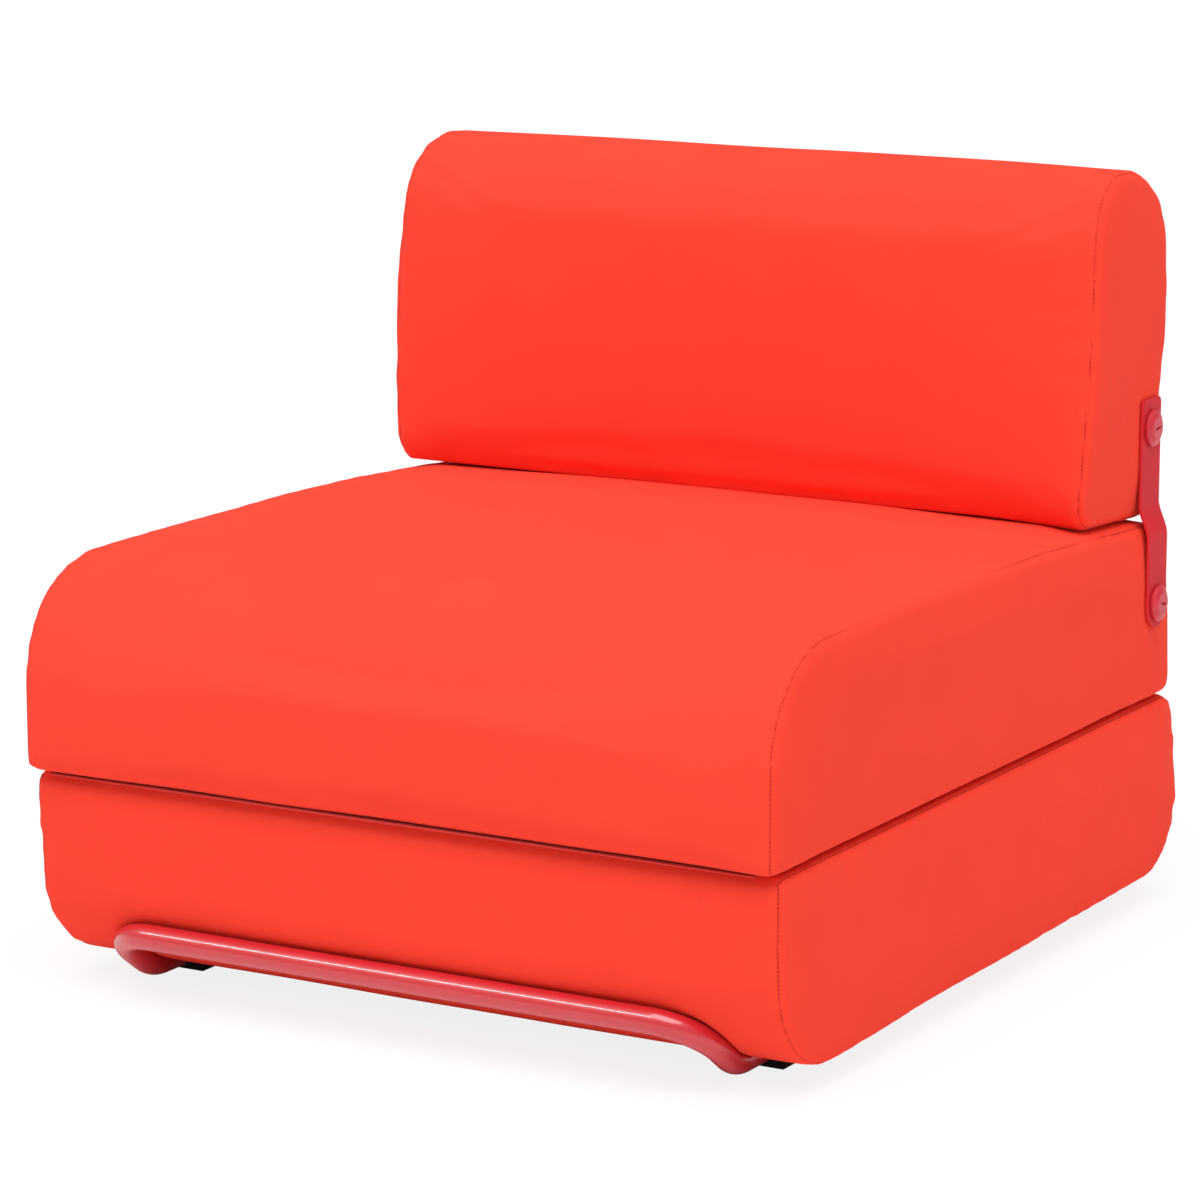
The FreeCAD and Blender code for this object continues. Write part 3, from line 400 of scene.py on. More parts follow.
@dataclass(frozen=True)
class Plywood(Finish):
    """Birch plywood: grain along the panel's width and plies through its thickness."""

    ply: float = 0.0015

    def sockets(self, graph: Graph) -> dict[str, Any]:
        """Plies as a wave in height, and grain as noise stretched along the panel."""
        place = graph.place()
        height = graph.parts(place)[2]
        plies = height.wave(2 * self.ply).fade(-0.4, 0.4)
        grain = graph.noise(graph.stretched(place, (6.0, 240.0, 240.0)), 1.0, 4.0)
        colour = graph.blend(grain, self.tone(0.72), self.tone(1.10))
        return {
            "Base Color": graph.blend(plies * 0.22, colour, self.tone(0.5)),
            "Roughness": 0.58 + grain * 0.2,
            "Normal": graph.relief(grain * 0.00015 + plies * 0.00005),
        }


@dataclass(frozen=True)
class HingeTape(Finish):
    """Herringbone tape, woven tighter than the covers."""

    rib: float = 0.0024

    def sockets(self, graph: Graph) -> dict[str, Any]:
        """Slanted ribs that change direction at every band of the tape."""
        place = graph.place()
        across, depth, _ = graph.parts(place)
        slant = abs(depth.wave(0.024)) * 0.006
        ribs = (across + slant).wave(self.rib) * 0.5 + 0.5
        grain = graph.noise(place, 500.0, 3.0)
        light = ribs * 0.4 + grain * 0.6
        return {
            "Base Color": graph.blend(light, self.tone(0.7), self.tone(1.2)),
            "Roughness": 0.78 + grain * 0.15,
            "Normal": graph.relief(ribs * 0.00015 + grain * 0.00005),
            "Sheen Weight": 0.15,
        }


COVER = WovenCover("cover_cloth", (250, 68, 50))
FRAME_COAT = PowderCoat("frame_powder_coat", (196, 34, 44))
STRAP_CLOTH = StrapWeb("strap_webbing", (208, 37, 46))
STUD_PLASTIC = Moulded("stud_plastic", (200, 42, 56), roughness=0.34)
GLIDE_PLASTIC = Moulded("glide_plastic", (16, 15, 16), grain_relief=0.00006, roughness=0.50)
PLATED_STEEL = ZincSteel("zinc_plated_steel", (196, 198, 200))
BIRCH_PLY = Plywood("birch_plywood", (214, 178, 128))
HINGE_CLOTH = HingeTape("hinge_tape", (214, 44, 36))


# Meshes


def grid_faces(rows: int, columns: int, round_rows: bool = False) -> np.ndarray:
    """Quads of a grid whose columns close into a ring.

    Corner (i, j) has the number i * columns + j, and a quad runs through (i, j), (i, j + 1),
    (i + 1, j + 1) and (i + 1, j).

    Args:
        rows: Number of rings.
        columns: Points of each ring.
        round_rows: Whether the last ring joins the first.
    Returns:
        Corner numbers, four to a quad.
    """
    row = np.arange(rows if round_rows else rows - 1)[:, None]
    column = np.arange(columns)[None, :]
    after = (row + 1) % rows
    beside = (column + 1) % columns
    corners = (
        row * columns + column,
        row * columns + beside,
        after * columns + beside,
        after * columns + column,
    )
    return np.stack([np.broadcast_to(c, (len(row), columns)) for c in corners], 2).reshape(-1, 4)


def new_piece(name: str, points: np.ndarray, faces: Iterable[Sequence[int]]) -> bpy.types.Object:
    """Makes a mesh object at the origin from points and faces, and puts it in the scene."""
    mesh = bpy.data.meshes.new(name)
    mesh.from_pydata(np.asarray(points, float).reshape(-1, 3).tolist(), [], list(faces))
    piece = bpy.data.objects.new(name, mesh)
    bpy.context.scene.collection.objects.link(piece)
    return piece


def ringed_piece(
    name: str, rings: Sequence[np.ndarray], closed: bool = False
) -> bpy.types.Object:
    """Skins one or more stacks of rings, and makes their faces point outwards.

    Args:
        name: The piece's name.
        rings: Stacks, each of shape (rows, columns, 3).
        closed: Whether each stack's last ring joins its first; if not, both ends are capped.
    Returns:
        The piece.
    """
    points: list[np.ndarray] = []
    faces: list[Any] = []
    start = 0
    for stack in rings:
        rows, columns = stack.shape[:2]
        points.append(stack.reshape(-1, 3))
        faces.extend((grid_faces(rows, columns, closed) + start).tolist())
        if not closed:
            first = np.arange(columns) + start
            faces.append(first[::-1].tolist())
            faces.append((first + (rows - 1) * columns).tolist())
        start += rows * columns
    piece = new_piece(name, np.concatenate(points), faces)
    face_outwards(piece)
    return piece


def face_outwards(piece: bpy.types.Object) -> None:
    """Merges points that coincide and turns every face of a closed mesh outwards."""
    shell = bmesh.new()
    shell.from_mesh(piece.data)
    bmesh.ops.remove_doubles(shell, verts=shell.verts, dist=1e-6)
    bmesh.ops.recalc_face_normals(shell, faces=shell.faces)
    shell.to_mesh(piece.data)
    shell.free()


def read_vectors(items: Any, key: str = "co") -> np.ndarray:
    """One vector of each item, such as a mesh's points, as an array of shape (items, 3)."""
    flat = np.empty(len(items) * 3, np.float32)
    items.foreach_get(key, flat)
    return flat.reshape(-1, 3).astype(float)


def write_points(mesh: bpy.types.Mesh, points: np.ndarray) -> None:
    """Puts an array of points back into the mesh."""
    mesh.vertices.foreach_set("co", points.astype(np.float32).ravel())
    mesh.update()


def settle(piece: bpy.types.Object) -> None:
    """Turns what the piece's modifiers make into its own mesh."""
    view = bpy.context.evaluated_depsgraph_get()
    mesh = bpy.data.meshes.new_from_object(piece.evaluated_get(view))
    piece.modifiers.clear()
    piece.data = mesh


def modify(piece: bpy.types.Object, kind: str, **settings: Any) -> bpy.types.Modifier:
    """Adds a modifier with its settings."""
    made = piece.modifiers.new(kind.lower(), kind)
    for key, value in settings.items():
        setattr(made, key, value)
    return made


def dress(
    piece: bpy.types.Object,
    finish: bpy.types.Material,
    body: Body | None = None,
    nodes: Sequence[str] = (),
    sharp: float = 0.7,
) -> None:
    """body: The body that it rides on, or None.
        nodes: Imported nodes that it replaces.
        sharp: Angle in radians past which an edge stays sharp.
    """
    piece.data.materials.clear()
    piece.data.materials.append(finish)
    piece.data.shade_smooth()
    piece.data.set_sharp_from_angle(angle=sharp)
    if nodes:
        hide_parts(*nodes)
    if body:
        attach(piece, body.value)
    log.info("%s: %d points", piece.name, len(piece.data.vertices))


def ripple(points: np.ndarray, wavelength: float, seed: int, waves: int = 9) -> np.ndarray:
    """Soft folds: the mean of sines of k . p + phase, with seeded directions and phases."""
    dice = np.random.default_rng(seed)
    ways = dice.normal(size=(waves, points.shape[1]))
    ways *= (2 * math.pi / wavelength) / np.linalg.norm(ways, axis=1, keepdims=True)
    ways *= dice.uniform(0.6, 1.5, (waves, 1))
    phase = dice.uniform(0, 2 * math.pi, waves)
    return np.sin(points @ ways.T + phase).mean(axis=1) * math.sqrt(waves) / 2


# Cushions


@dataclass(frozen=True)
class Turn:
    """A round corner of a cushion's cross-section, and the crown of the face after it.

    The corner's centre moves by its swell where the cushion is at its fullest.
    """

    y: float
    z: float
    radius: float
    crown: float = STRAIGHT
    swell_y: float = 0.0
    swell_z: float = 0.0


def corner(y: float, z: float, radius: float, ahead: int, up: int, **more: float) -> Turn:
    """The turn that rounds a sharp corner at (y, z), whose signs say which way it points."""
    return Turn(y - ahead * radius, z - up * radius, radius, **more)


def arc(centre: np.ndarray, first: np.ndarray, last: np.ndarray, count: int) -> np.ndarray:
    """Points of the counter-clockwise arcs from first up to last.

    Args:
        centre: Centres, shape (rows, 2).
        first: Where the arcs start, shape (rows, 2).
        last: Where they end, shape (rows, 2).
        count: Points on each arc, its end left out.
    Returns:
        centre + r (cos a, sin a), shape (rows, count, 2).
    """
    out = first - centre
    there = last - centre
    start = np.arctan2(out[:, 1], out[:, 0])
    sweep = (np.arctan2(there[:, 1], there[:, 0]) - start) % (2 * math.pi)
    angle = start[:, None] + sweep[:, None] * np.linspace(0, 1, count, endpoint=False)
    radius = np.linalg.norm(out, axis=1)[:, None]
    return centre[:, None] + np.stack([radius * np.cos(angle), radius * np.sin(angle)], 2)


def outline(turns: Sequence[Turn], fullness: np.ndarray, step: float) -> np.ndarray:
    """Cross-sections of a cushion: round corners joined by crowned faces.

    A face of crown R touches corner circles of radii a and b from outside, so its centre is
    R - a from one corner's centre and R - b from the other's.

    Args:
        turns: The corners, counter-clockwise.
        fullness: Share of the swell at each section, shape (rows,).
        step: Distance between points.
    Returns:
        Points of shape (rows, points, 2), as y and z.
    """
    at = np.array([[t.y, t.z] for t in turns])
    swell = np.array([[t.swell_y, t.swell_z] for t in turns])
    middle = at[None] + fullness[:, None, None] * swell[None]
    radius = np.array([t.radius for t in turns])[None, :, None]
    crown = np.array([t.crown for t in turns])[None, :, None]
    after = np.roll(middle, -1, axis=1)
    length = np.linalg.norm(after - middle, axis=2, keepdims=True)
    along = (after - middle) / length
    left = np.stack([-along[..., 1], along[..., 0]], axis=2)
    reach = crown - radius
    reach_after = crown - np.roll(radius, -1, axis=1)
    foot = (reach**2 - reach_after**2 + length**2) / (2 * length)
    centre = middle + along * foot + left * np.sqrt(reach**2 - foot**2)
    start = centre + (middle - centre) * crown / reach
    end = centre + (after - centre) * crown / reach_after
    pieces = []
    for number in range(len(turns)):
        came = end[:, number - 1]
        run = np.linalg.norm(start[0, number] - came[0]) * 1.1
        pieces.append(arc(middle[:, number], came, start[:, number], max(4, round(run / step))))
        face = np.linalg.norm(end[0, number] - start[0, number])
        count = max(2, round(face / step))
        pieces.append(arc(centre[:, number], start[:, number], end[:, number], count))
    return np.concatenate(pieces, axis=1)


@dataclass(frozen=True)
class Seam:
    """The closed seam between a cushion's band and a side panel, as y and z."""

    loop: np.ndarray

    def measure(
        self, points: np.ndarray, outside: np.ndarray, reach: float
    ) -> tuple[np.ndarray, np.ndarray]:
        """Distance to the seam over the rounded edge, and place along it.

        Each (y, z) is projected on every segment, t = (p - a) . e / e . e kept in 0 to 1, for its
        depth inside the loop. Depth and outside cancel out on the seam.

        Args:
            points: Points of shape (points, 3).
            outside: How far each point lies outside the seam's plane.
            reach: Distance past which the exact value isn't worked out.
        Returns:
            Distance and run, each of shape (points,).
        """
        edge = np.roll(self.loop, -1, axis=0) - self.loop
        size = np.linalg.norm(edge, axis=1)
        begins = np.cumsum(size) - size
        across = outside - reach
        run = np.zeros(len(points))
        near = np.flatnonzero(outside > -reach)
        for chunk in np.array_split(near, max(1, len(near) // 3000)):
            gap = points[chunk, None, 1:] - self.loop[None]
            share = np.clip((gap * edge).sum(2) / size**2, 0, 1)
            square = ((gap - share[..., None] * edge) ** 2).sum(2)
            best = square.argmin(axis=1)
            rows = np.arange(len(chunk))
            nearest = gap[rows, best]
            turn = edge[best, 0] * nearest[:, 1] - edge[best, 1] * nearest[:, 0]
            across[chunk] = outside[chunk] + np.sqrt(square[rows, best]) * np.sign(turn)
            run[chunk] = begins[best] + share[rows, best] * size[best]
        return np.abs(across), run


@dataclass
class Cushion:
    """A firm foam cushion in a sewn cover: a band between two side panels.

    The corners of its cross-section run counter-clockwise from the front bottom.
    """

    name: str
    body: Body
    half_width: float
    puff: float
    bottom: float
    top: float
    corners: tuple[Turn, ...]
    seed: int
    fill: float
    voxel: float = 0.008
    panel_scale: float = 0.9
    rim_rings: int = 7
    rim_spacing: float = 1.5
    disc_rings: int = 12
    disc_hole: float = 0.03
    start_fullness: float = 0.55
    cap: float = 0.006
    pressure: float = 4.0
    frames: int = 12
    smoothing: int = 1
    contact: float = 0.001
    seam_hold: float = 0.007
    seam_width: float = 0.0045
    seam_depth: float = 0.0016
    seam_reach: float = 0.12
    side_shift: float = 0.7
    pucker: float = 0.0012
    pucker_length: float = 0.045
    pucker_pitch: float = 0.034
    pucker_groups: float = 0.34
    pucker_start: float = 0.006
    fold: float = 0.0009
    fold_length: float = 0.21

    def turns(self) -> list[Turn]:
        """The corners of the cross-section at the side panels."""
        return list(self.corners)

    def surface(self, fullness: float, step: float = 0.008) -> np.ndarray:
        """The cushion's skin as rings from the left panel's middle to the right one's.

        Across the band, x = h t and the swell is 1 - t^2. On a panel the outline shrinks by a
        scale q about the cushion's centre while x = h + puff (1 - (1 - s)^2), where s runs
        from 0 at the seam to 1 where q reaches the flat middle.

        Args:
            fullness: Share of the full swell and puff.
            step: Distance between points.
        Returns:
            Rings of shape (rows, points, 3).
        """
        count = 2 * math.ceil(self.half_width / step / 2) + 1
        share = np.linspace(-1, 1, count)
        band = outline(self.turns(), (1 - share**2) * fullness, step)
        edge = band[-1]
        flat = 1 - self.panel_scale
        rim = 1 - flat * np.linspace(0, 1, self.rim_rings)[1:] ** self.rim_spacing
        disc = np.linspace(self.panel_scale, self.disc_hole, self.disc_rings)[1:]
        scales = np.concatenate([rim, disc])
        rise = 1 - (1 - np.clip((1 - scales) / flat, 0, 1)) ** 2
        front, rear = self.corners[:2]
        middle_y = (front.y - front.radius + rear.y + rear.radius) / 2
        middle = np.array([middle_y, (self.bottom + self.top) / 2])
        panel = middle + (edge - middle)[None] * scales[:, None, None]
        reach = self.half_width + self.puff * fullness * rise
        right = np.dstack([np.broadcast_to(reach[:, None], panel.shape[:2]), panel])
        left = right[::-1] * np.array([-1, 1, 1])
        across = np.broadcast_to((share * self.half_width)[:, None], band.shape[:2])
        rings = np.concatenate([left, np.dstack([across, band]), right])
        rings[..., 0] += self.splay(rings) * np.clip(rings[..., 0] / self.half_width, -1, 1) ** 5
        return rings

    def to_seam(self, points: np.ndarray, reach: float) -> tuple[np.ndarray, np.ndarray]:
        """Distance to the nearer seam and place along it, counted from underneath."""
        loop = outline(self.turns(), np.zeros(1), 0.006)[0]
        middle = (loop[:, 0].min() + loop[:, 0].max()) / 2
        start = np.hypot(loop[:, 0] - middle, loop[:, 1] - loop[:, 1].min()).argmin()
        outside = np.abs(points[:, 0]) - self.half_width - self.splay(points)
        return Seam(np.roll(loop, -start, axis=0)).measure(points, outside, reach)

    def splay(self, points: np.ndarray) -> np.ndarray:
        """How far the side panels stand out past the half width at each y and z."""
        return np.zeros(points.shape[:-1])

    def underside(self, points: np.ndarray) -> np.ndarray:
        """Height of what the cushion rests on under each point."""
        return np.full(len(points), self.bottom)

    def rest(self, points: np.ndarray) -> np.ndarray:
        """Keeps the points inside what the cushion rests on or against."""
        points[:, 2] = np.maximum(points[:, 2], self.underside(points))
        limit = self.half_width + self.puff + self.splay(points)
        points[:, 0] = np.clip(points[:, 0], -limit, limit)
        return points

    def held(self, points: np.ndarray) -> np.ndarray:
        """Which points the seams and the contact faces hold still while the cover fills."""
        distance, _ = self.to_seam(points, 2 * self.seam_hold)
        resting = points[:, 2] < self.underside(points) + self.contact
        return (distance < self.seam_hold) | resting

    def swell(self, piece: bpy.types.Object) -> None:
        """Fills the cover: cloth under pressure, each point's way limited by the cap."""
        start = read_vectors(piece.data.vertices)
        held = np.flatnonzero(self.held(start)).tolist()
        group = piece.vertex_groups.new(name="held")
        group.add(held, 1.0, "REPLACE")
        cloth = modify(piece, "CLOTH")
        settings = cloth.settings
        settings.quality = 4
        settings.use_pressure = True
        settings.uniform_pressure_force = self.pressure
        settings.effector_weights.gravity = 0
        settings.vertex_group_mass = group.name
        cloth.collision_settings.use_collision = False
        cloth.point_cache.frame_start = 1
        cloth.point_cache.frame_end = self.frames
        scene = bpy.context.scene
        for number in range(1, self.frames + 1):
            scene.frame_set(number)
        settle(piece)
        scene.frame_set(1)
        way = read_vectors(piece.data.vertices) - start
        length = np.linalg.norm(way, axis=1, keepdims=True)
        way *= self.cap / np.maximum(length, self.cap)
        log.info("%s: cloth moved up to %.1f mm", self.name, length.max() * 1000)
        write_points(piece.data, start + way)
        piece.vertex_groups.clear()

    def sew(self, piece: bpy.types.Object) -> None:
        """Adds the seams, the puckers beside them and the soft folds of the cover.

        The skin moves in by depth * exp(-(d / w)^2) at a seam, and in and out by
        pucker * gather(run) * exp(-d / length) beside it.
        """
        mesh = piece.data
        points = read_vectors(mesh.vertices)
        normals = read_vectors(mesh.vertex_normals, "vector")
        distance, run = self.to_seam(points, self.seam_reach)
        along = np.column_stack([run, np.sign(points[:, 0]) * self.side_shift])
        gather = ripple(along, self.pucker_pitch, self.seed, 7)
        spread = 0.5 + 0.5 * ripple(along, self.pucker_groups, self.seed + 1, 5)
        move = -self.seam_depth * np.exp(-((distance / self.seam_width) ** 2))
        decay = np.exp(-distance / self.pucker_length) * np.clip(distance / self.pucker_start, 0, 1)
        move += self.pucker * gather * np.clip(spread, 0, 1) * decay
        move += self.fold * ripple(points, self.fold_length, self.seed + 2)
        points = self.rest(points + normals * move[:, None])
        write_points(mesh, points)
        for word, values in (("seam_distance", distance), ("seam_run", run)):
            layer = mesh.attributes.new(word, "FLOAT", "POINT")
            layer.data.foreach_set("value", values.astype(np.float32))

    def lay_cloth(self, mesh: bpy.types.Mesh) -> None:
        """Gives the cover cloth coordinates in metres, by the axis each face looks along."""
        points = read_vectors(mesh.vertices)
        order = np.empty(len(mesh.loops), np.int32)
        mesh.loops.foreach_get("vertex_index", order)
        total = np.empty(len(mesh.polygons), np.int32)
        mesh.polygons.foreach_get("loop_total", total)
        facing = read_vectors(mesh.polygons, "normal")
        axis = np.repeat(np.abs(facing).argmax(axis=1), total)
        picks = np.array([[1, 2], [0, 2], [0, 1]])[axis]
        values = np.take_along_axis(points[order], picks, axis=1)
        layer = mesh.uv_layers.new(name="cloth")
        layer.data.foreach_set("uv", values.astype(np.float32).ravel())

    def build(self, finish: bpy.types.Material) -> bpy.types.Object:
        """Shapes, fills, sews and dresses the cushion.

        Args:
            finish: The cover's material.
        Returns:
            The finished piece.
        """
        fullness = self.start_fullness
        piece = ringed_piece(f"{self.name}_cushion", [self.surface(fullness)])
        modify(piece, "REMESH", mode="VOXEL", voxel_size=self.voxel)
        settle(piece)
        self.swell(piece)
        modify(piece, "SMOOTH", factor=0.5, iterations=self.smoothing)
        modify(piece, "SUBSURF", levels=1, render_levels=1)
        settle(piece)
        self.sew(piece)
        self.lay_cloth(piece.data)
        covered = (f"{self.name}_cover", f"{self.name}_foam")
        dress(piece, finish, self.body, covered, sharp=math.pi)
        return piece


@dataclass
class BaseCushion(Cushion):
    """The lowest cushion, round underneath at the front, on the tube frame."""

    name: str = "base"
    body: Body = Body.BASE
    half_width: float = 0.401
    puff: float = 0.009
    bottom: float = 0.0315
    top: float = 0.216
    corners: tuple[Turn, ...] = (
        corner(-0.430, 0.0315, 0.100, -1, -1, swell_y=-0.002),
        corner(0.4496, 0.0315, 0.077, 1, -1, crown=0.6, swell_y=0.006),
        corner(0.434, 0.216, 0.020, 1, 1, swell_y=0.006),
        corner(-0.433, 0.216, 0.006, -1, 1, crown=1.5, swell_y=-0.002),
    )
    seed: int = 11
    fill: float = 0.9
    cap: float = 0.004
    pucker: float = 0.0018
    sag: float = 0.001
    sag_front: float = 0.009
    sag_rear: float = 0.004
    sag_middle: float = 0.005
    sag_reach: float = 0.38
    sag_place: float = 0.05
    tubes: Sequence[np.ndarray] = ()
    tube_reach: float = 0.0134

    def sagged(self, place: np.ndarray) -> np.ndarray:
        """How far the bottom hangs at each y: more and more towards the front and the rear."""
        ends = np.where(place < self.sag_place, self.sag_front, self.sag_rear) - self.sag
        return self.sag + ends * np.clip((place - self.sag_place) / self.sag_reach, -1, 1) ** 6

    def turns(self) -> list[Turn]:
        """Lets the two low corners hang between the tubes."""
        corners = super().turns()
        low = [replace(turn, z=turn.z - float(self.sagged(turn.y))) for turn in corners[:2]]
        return [replace(low[0], swell_z=-self.sag_middle), low[1]] + corners[2:]

    def underside(self, points: np.ndarray) -> np.ndarray:
        """The hanging bottom, lowest in the middle of its front."""
        front = np.clip((self.sag_place - points[:, 1]) / self.sag_reach, 0, 1) ** 6
        across = 1 - np.clip(points[:, 0] / self.half_width, -1, 1) ** 2
        return self.bottom - self.sagged(points[:, 1]) - self.sag_middle * front * across

    def rest(self, points: np.ndarray) -> np.ndarray:
        """Keeps the top flat under the seat, and presses the tubes into the bottom.

        A distance d to a tube's centre line becomes (d^8 + r^8)^(1/8).
        """
        points = super().rest(points)
        points[:, 2] = np.minimum(points[:, 2], self.top)
        low = np.flatnonzero(points[:, 2] < self.bottom + self.corners[0].radius)
        for route in self.tubes:
            near = points[low]
            nearest = np.full(near.shape, np.inf)
            for start, way in zip(route, np.diff(route, axis=0)):
                share = np.clip((near - start) @ way / (way @ way), 0, 1)
                gap = near - start - share[:, None] * way
                closer = (gap**2).sum(1) < (nearest**2).sum(1)
                nearest[closer] = gap[closer]
            distance = np.linalg.norm(nearest, axis=1, keepdims=True)
            pressed = (distance**8 + self.tube_reach**8) ** 0.125
            points[low] = near + nearest * (pressed / distance - 1)
        return points

    def held(self, points: np.ndarray) -> np.ndarray:
        """Holds the flat top as well."""
        return super().held(points) | (points[:, 2] > self.top - self.contact)


@dataclass
class SeatCushion(Cushion):
    """The seat, crowned over a shoulder in front of the back cushion."""

    name: str = "seat"
    body: Body = Body.SEAT
    half_width: float = 0.401
    puff: float = 0.009
    bottom: float = 0.218
    top: float = 0.417
    corners: tuple[Turn, ...] = (
        corner(-0.449, 0.218, 0.008, -1, -1, swell_y=-0.002),
        corner(0.424, 0.218, 0.014, 1, -1, crown=0.9, swell_y=0.006),
        corner(0.410, 0.403, 0.055, 1, 1, swell_y=0.006, swell_z=0.006),
        corner(-0.449, 0.417, 0.110, -1, 1, crown=1.5, swell_y=-0.002, swell_z=0.012),
    )
    seed: int = 23
    fill: float = 0.85
    cap: float = 0.006
    shoulder_place: float = 0.110
    shoulder_rise: float = 0.0081
    shoulder_swell: float = 0.0089
    shoulder_round: float = 0.4
    bulge_top: float = 12.0
    under_back: float = 0.236
    under_height: float = 0.4226

    def turns(self) -> list[Turn]:
        """Adds the shoulder, which rises over the line from the front to the rear top."""
        corners = super().turns()
        rear, front = corners[2:]
        front_y = front.y - front.radius
        share = (self.shoulder_place - front_y) / (rear.y + rear.radius - front_y)
        line = self.top + (rear.z + rear.radius - self.top) * share
        full = front.swell_z + (rear.swell_z - front.swell_z) * share
        shoulder = corner(
            self.shoulder_place,
            line + self.shoulder_rise,
            self.shoulder_round,
            0,
            1,
            crown=self.bulge_top,
            swell_z=full + self.shoulder_swell,
        )
        return corners[:3] + [shoulder, front]

    def rest(self, points: np.ndarray) -> np.ndarray:
        """Presses the top flat under the back cushion as well."""
        points = super().rest(points)
        under = points[:, 1] > self.under_back
        points[under, 2] = np.minimum(points[under, 2], self.under_height)
        return points


@dataclass
class BackCushion(Cushion):
    """The back cushion, which stands on the seat between the straps."""

    name: str = "back"
    body: Body = Body.BACK
    half_width: float = 0.393
    puff: float = 0.007
    bottom: float = 0.423
    top: float = 0.763
    corners: tuple[Turn, ...] = (
        corner(0.203, 0.423, 0.035, -1, -1, swell_y=-0.008),
        corner(0.395, 0.423, 0.032, 1, -1, crown=3.0, swell_y=0.006),
        corner(0.396, 0.762, 0.078, 1, 1, swell_y=0.006, swell_z=0.001),
        corner(0.225, 0.763, 0.075, -1, 1, crown=2.5, swell_y=-0.008, swell_z=0.001),
    )
    seed: int = 37
    fill: float = 0.8
    voxel: float = 0.0065
    cap: float = 0.0035
    pucker: float = 0.0022
    drop_end: float = 0.009
    drop_rear: float = 0.007
    drop_from: tuple[float, float] = (0.27, 0.238)
    drop_reach: float = 0.11
    splay_side: float = 0.007
    strap_place: float = 0.356
    strap_half: float = 0.023
    strap_top: float = 0.531
    strap_room: float = 0.060

    def turns(self) -> list[Turn]:
        """Lets the low corners down, for the seat to press them up again."""
        corners = super().turns()
        downs = (self.drop_end, self.drop_end + self.drop_rear)
        low = [replace(turn, z=turn.z - down) for turn, down in zip(corners, downs)]
        return low + corners[2:]

    def underside(self, points: np.ndarray) -> np.ndarray:
        """The seat's top under the cushion, which falls off to the rear and to the right."""
        share = np.clip((points[:, :2] - self.drop_from) / self.drop_reach, 0, 1)
        return self.bottom - self.drop_rear * share[:, 1] - self.drop_end * share[:, 0] ** 2

    def splay(self, points: np.ndarray) -> np.ndarray:
        """The ends bulge at mid height, but not where the straps lie on them.

        sin(pi s) over the height, times 1 - exp(-(d / room)^2) for the distance d to a strap.
        """
        share = (points[..., 2] - self.bottom) / (self.top - self.bottom)
        height = np.sin(math.pi * np.clip(share, 0, 1))
        above = np.maximum(points[..., 2] - self.strap_top, 0)
        beside = np.maximum(np.abs(points[..., 1] - self.strap_place) - self.strap_half, 0)
        away = 1 - np.exp(-((np.hypot(above, beside) / self.strap_room) ** 2))
        return self.splay_side * height * away


# Frame


def rounded_route(points: np.ndarray, radius: float, step: float) -> np.ndarray:
    """Straight runs through points with a tangent arc of one radius at each inner corner.

    At a corner with unit directions b back and a ahead, half angle h, the arc starts
    r / tan h before the corner, and its centre is r / sin h along b + a.

    Args:
        points: Corners, shape (corners, 3).
        radius: Radius of the arcs.
        step: Distance between points on the arcs.
    Returns:
        The route's points, shape (points, 3).
    """
    route = [points[:1]]
    for before, corner, after in zip(points, points[1:], points[2:]):
        back = (before - corner) / np.linalg.norm(before - corner)
        ahead = (after - corner) / np.linalg.norm(after - corner)
        half = math.acos(float(back @ ahead)) / 2
        bisector = (back + ahead) / np.linalg.norm(back + ahead)
        centre = corner + bisector * radius / math.sin(half)
        out = corner + back * radius / math.tan(half) - centre
        turn = math.pi - 2 * half
        angle = np.linspace(0, turn, max(3, round(radius * turn / step)))[:, None]
        route.append(centre + out * np.cos(angle) - back * radius * np.sin(angle))
    route.append(points[-1:])
    return np.concatenate(route)


def tube_rings(route: np.ndarray, radius: float, across: np.ndarray, sides: int) -> np.ndarray:
    """Rings of a round bar along a route: p + r (n cos a + b sin a).

    The first normal n is the across vector made square to the route's direction.

    Args:
        route: The centre line, shape (rows, 3).
        radius: The bar's radius.
        across: A vector that is nowhere parallel to the route.
        sides: Points of each ring.
    Returns:
        Rings of shape (rows, sides, 3).
    """
    way = np.gradient(route, axis=0)
    way /= np.linalg.norm(way, axis=1, keepdims=True)
    normal = across - (way @ across)[:, None] * way
    normal /= np.linalg.norm(normal, axis=1, keepdims=True)
    other = np.cross(way, normal)
    angle = np.linspace(0, 2 * math.pi, sides, endpoint=False)[None, :, None]
    spread = normal[:, None] * np.cos(angle) + other[:, None] * np.sin(angle)
    return route[:, None] + radius * spread


def turned(profile: np.ndarray, sides: int) -> np.ndarray:
    """Rings of a profile of (reach, radius) turned round the X axis."""
    angle = np.linspace(0, 2 * math.pi, sides, endpoint=False)[None, :]
    reach = np.broadcast_to(profile[:, :1], (len(profile), sides))
    radius = profile[:, 1:]
    return np.dstack([reach, radius * np.cos(angle), radius * np.sin(angle)])


